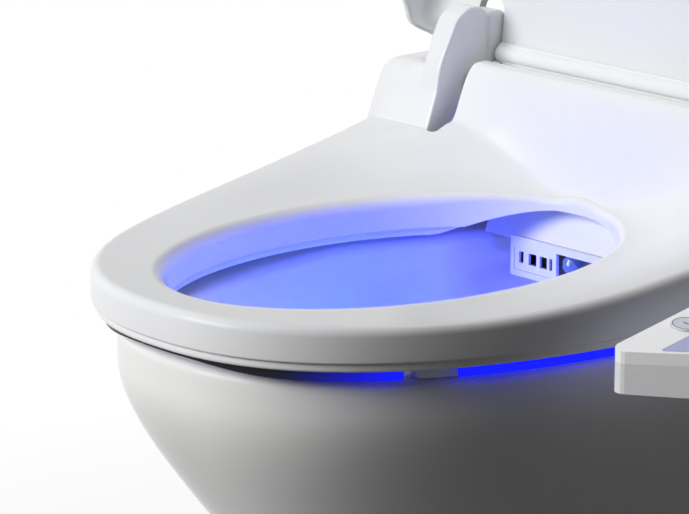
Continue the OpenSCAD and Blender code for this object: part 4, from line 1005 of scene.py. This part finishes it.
bpy.ops.mesh.primitive_plane_add(size=FLOOR_SIZE, location=(0, 0, 0))
floor = bpy.context.object
floor.name = "Floor"
floor.data.materials.append(floor_material())


def pale_world():
    """White behind the part, and nearly dark as a light."""
    world = bpy.data.worlds.new("World")
    bpy.context.scene.world = world
    world.use_nodes = True
    tree = world.node_tree
    dim = tree.nodes["Background"]
    dim.inputs["Color"].default_value = PURE_WHITE
    dim.inputs["Strength"].default_value = WORLD_LIGHT
    seen = node(tree, "ShaderNodeBackground", Color=PURE_WHITE, Strength=1.0)
    blend = tree.nodes.new("ShaderNodeMixShader")
    tree.links.new(plain_rays(tree), blend.inputs[0])
    tree.links.new(dim.outputs[0], blend.inputs[1])
    tree.links.new(seen.outputs[0], blend.inputs[2])
    tree.links.new(blend.outputs[0], tree.nodes["World Output"].inputs[0])


pale_world()


def area(name, location, target, size, power, color=(1, 1, 1)):
    light = bpy.data.lights.new(name, "AREA")
    light.shape, light.size, light.size_y = "RECTANGLE", size[0], size[1]
    light.energy, light.color = power, color
    obj = bpy.data.objects.new(name, light)
    obj.visible_camera = False
    bpy.context.scene.collection.objects.link(obj)
    obj.location = location
    obj.rotation_euler = (Vector(target) - Vector(location)).to_track_quat("-Z", "Y").to_euler()
    return obj


area("Key", (-0.85, -2.35, 1.45), (0, -0.15, 0.4), (1.2, 1.2), 63)
area("Top", (0.0, 0.0, 1.2), (0, 0.0, 0.45), (0.5, 0.25), 2.2)
area("Back", (0.1, 2.4, 1.4), (0, 0, 0.4), (1.2, 1.2), 16)
# The blue lamps of the unit shine forward into the bowl and on its rear wall
BLUE, DEEP_BLUE = (0.01, 0.02, 1.0), (0.0, 0.45, 1.0)
area("BowlGlow", (0, -0.088, 0.385), (-0.03, -0.3, 0.36), (0.12, 0.03), 0.5, BLUE)
rear_glow = area("RearGlow", (0.05, -0.12, 0.35), (-0.11, -0.065, 0.335), (0.03, 0.02), 0.09, BLUE)
rear_glow.data.spread = math.radians(90)
area("DeepGlow", (0.02, -0.13, 0.3), (-0.04, -0.25, 0.27), (0.05, 0.03), 0.1, DEEP_BLUE)

# Camera at the photograph's place, with its focal length and its shift in the photograph's pixels
PHOTO_W, FOCAL, SHIFT_X, SHIFT_Y = 689, 3651.81, -0.5, -2.2
AZIMUTH, ELEVATION, DISTANCE = math.radians(47.93), math.radians(14.74), 2.19644
AIM = Vector((-6.54, -267.1, 436.0)) * MM
scene = bpy.context.scene
cam_data = bpy.data.cameras.new("Camera")
cam = bpy.data.objects.new("Camera", cam_data)
scene.collection.objects.link(cam)
level = math.cos(ELEVATION)
back = Vector((math.sin(AZIMUTH) * level, -math.cos(AZIMUTH) * level, math.sin(ELEVATION)))
cam.location = AIM + back * DISTANCE
cam.rotation_mode = "QUATERNION"
cam.rotation_quaternion = (-back).to_track_quat("-Z", "Y")
cam_data.sensor_width = 36
cam_data.lens = FOCAL / PHOTO_W * cam_data.sensor_width
cam_data.shift_x, cam_data.shift_y = SHIFT_X / PHOTO_W, SHIFT_Y / PHOTO_W
cam_data.clip_start, cam_data.clip_end = 0.05, 50
scene.camera = cam
scene.view_settings.view_transform = "Standard"
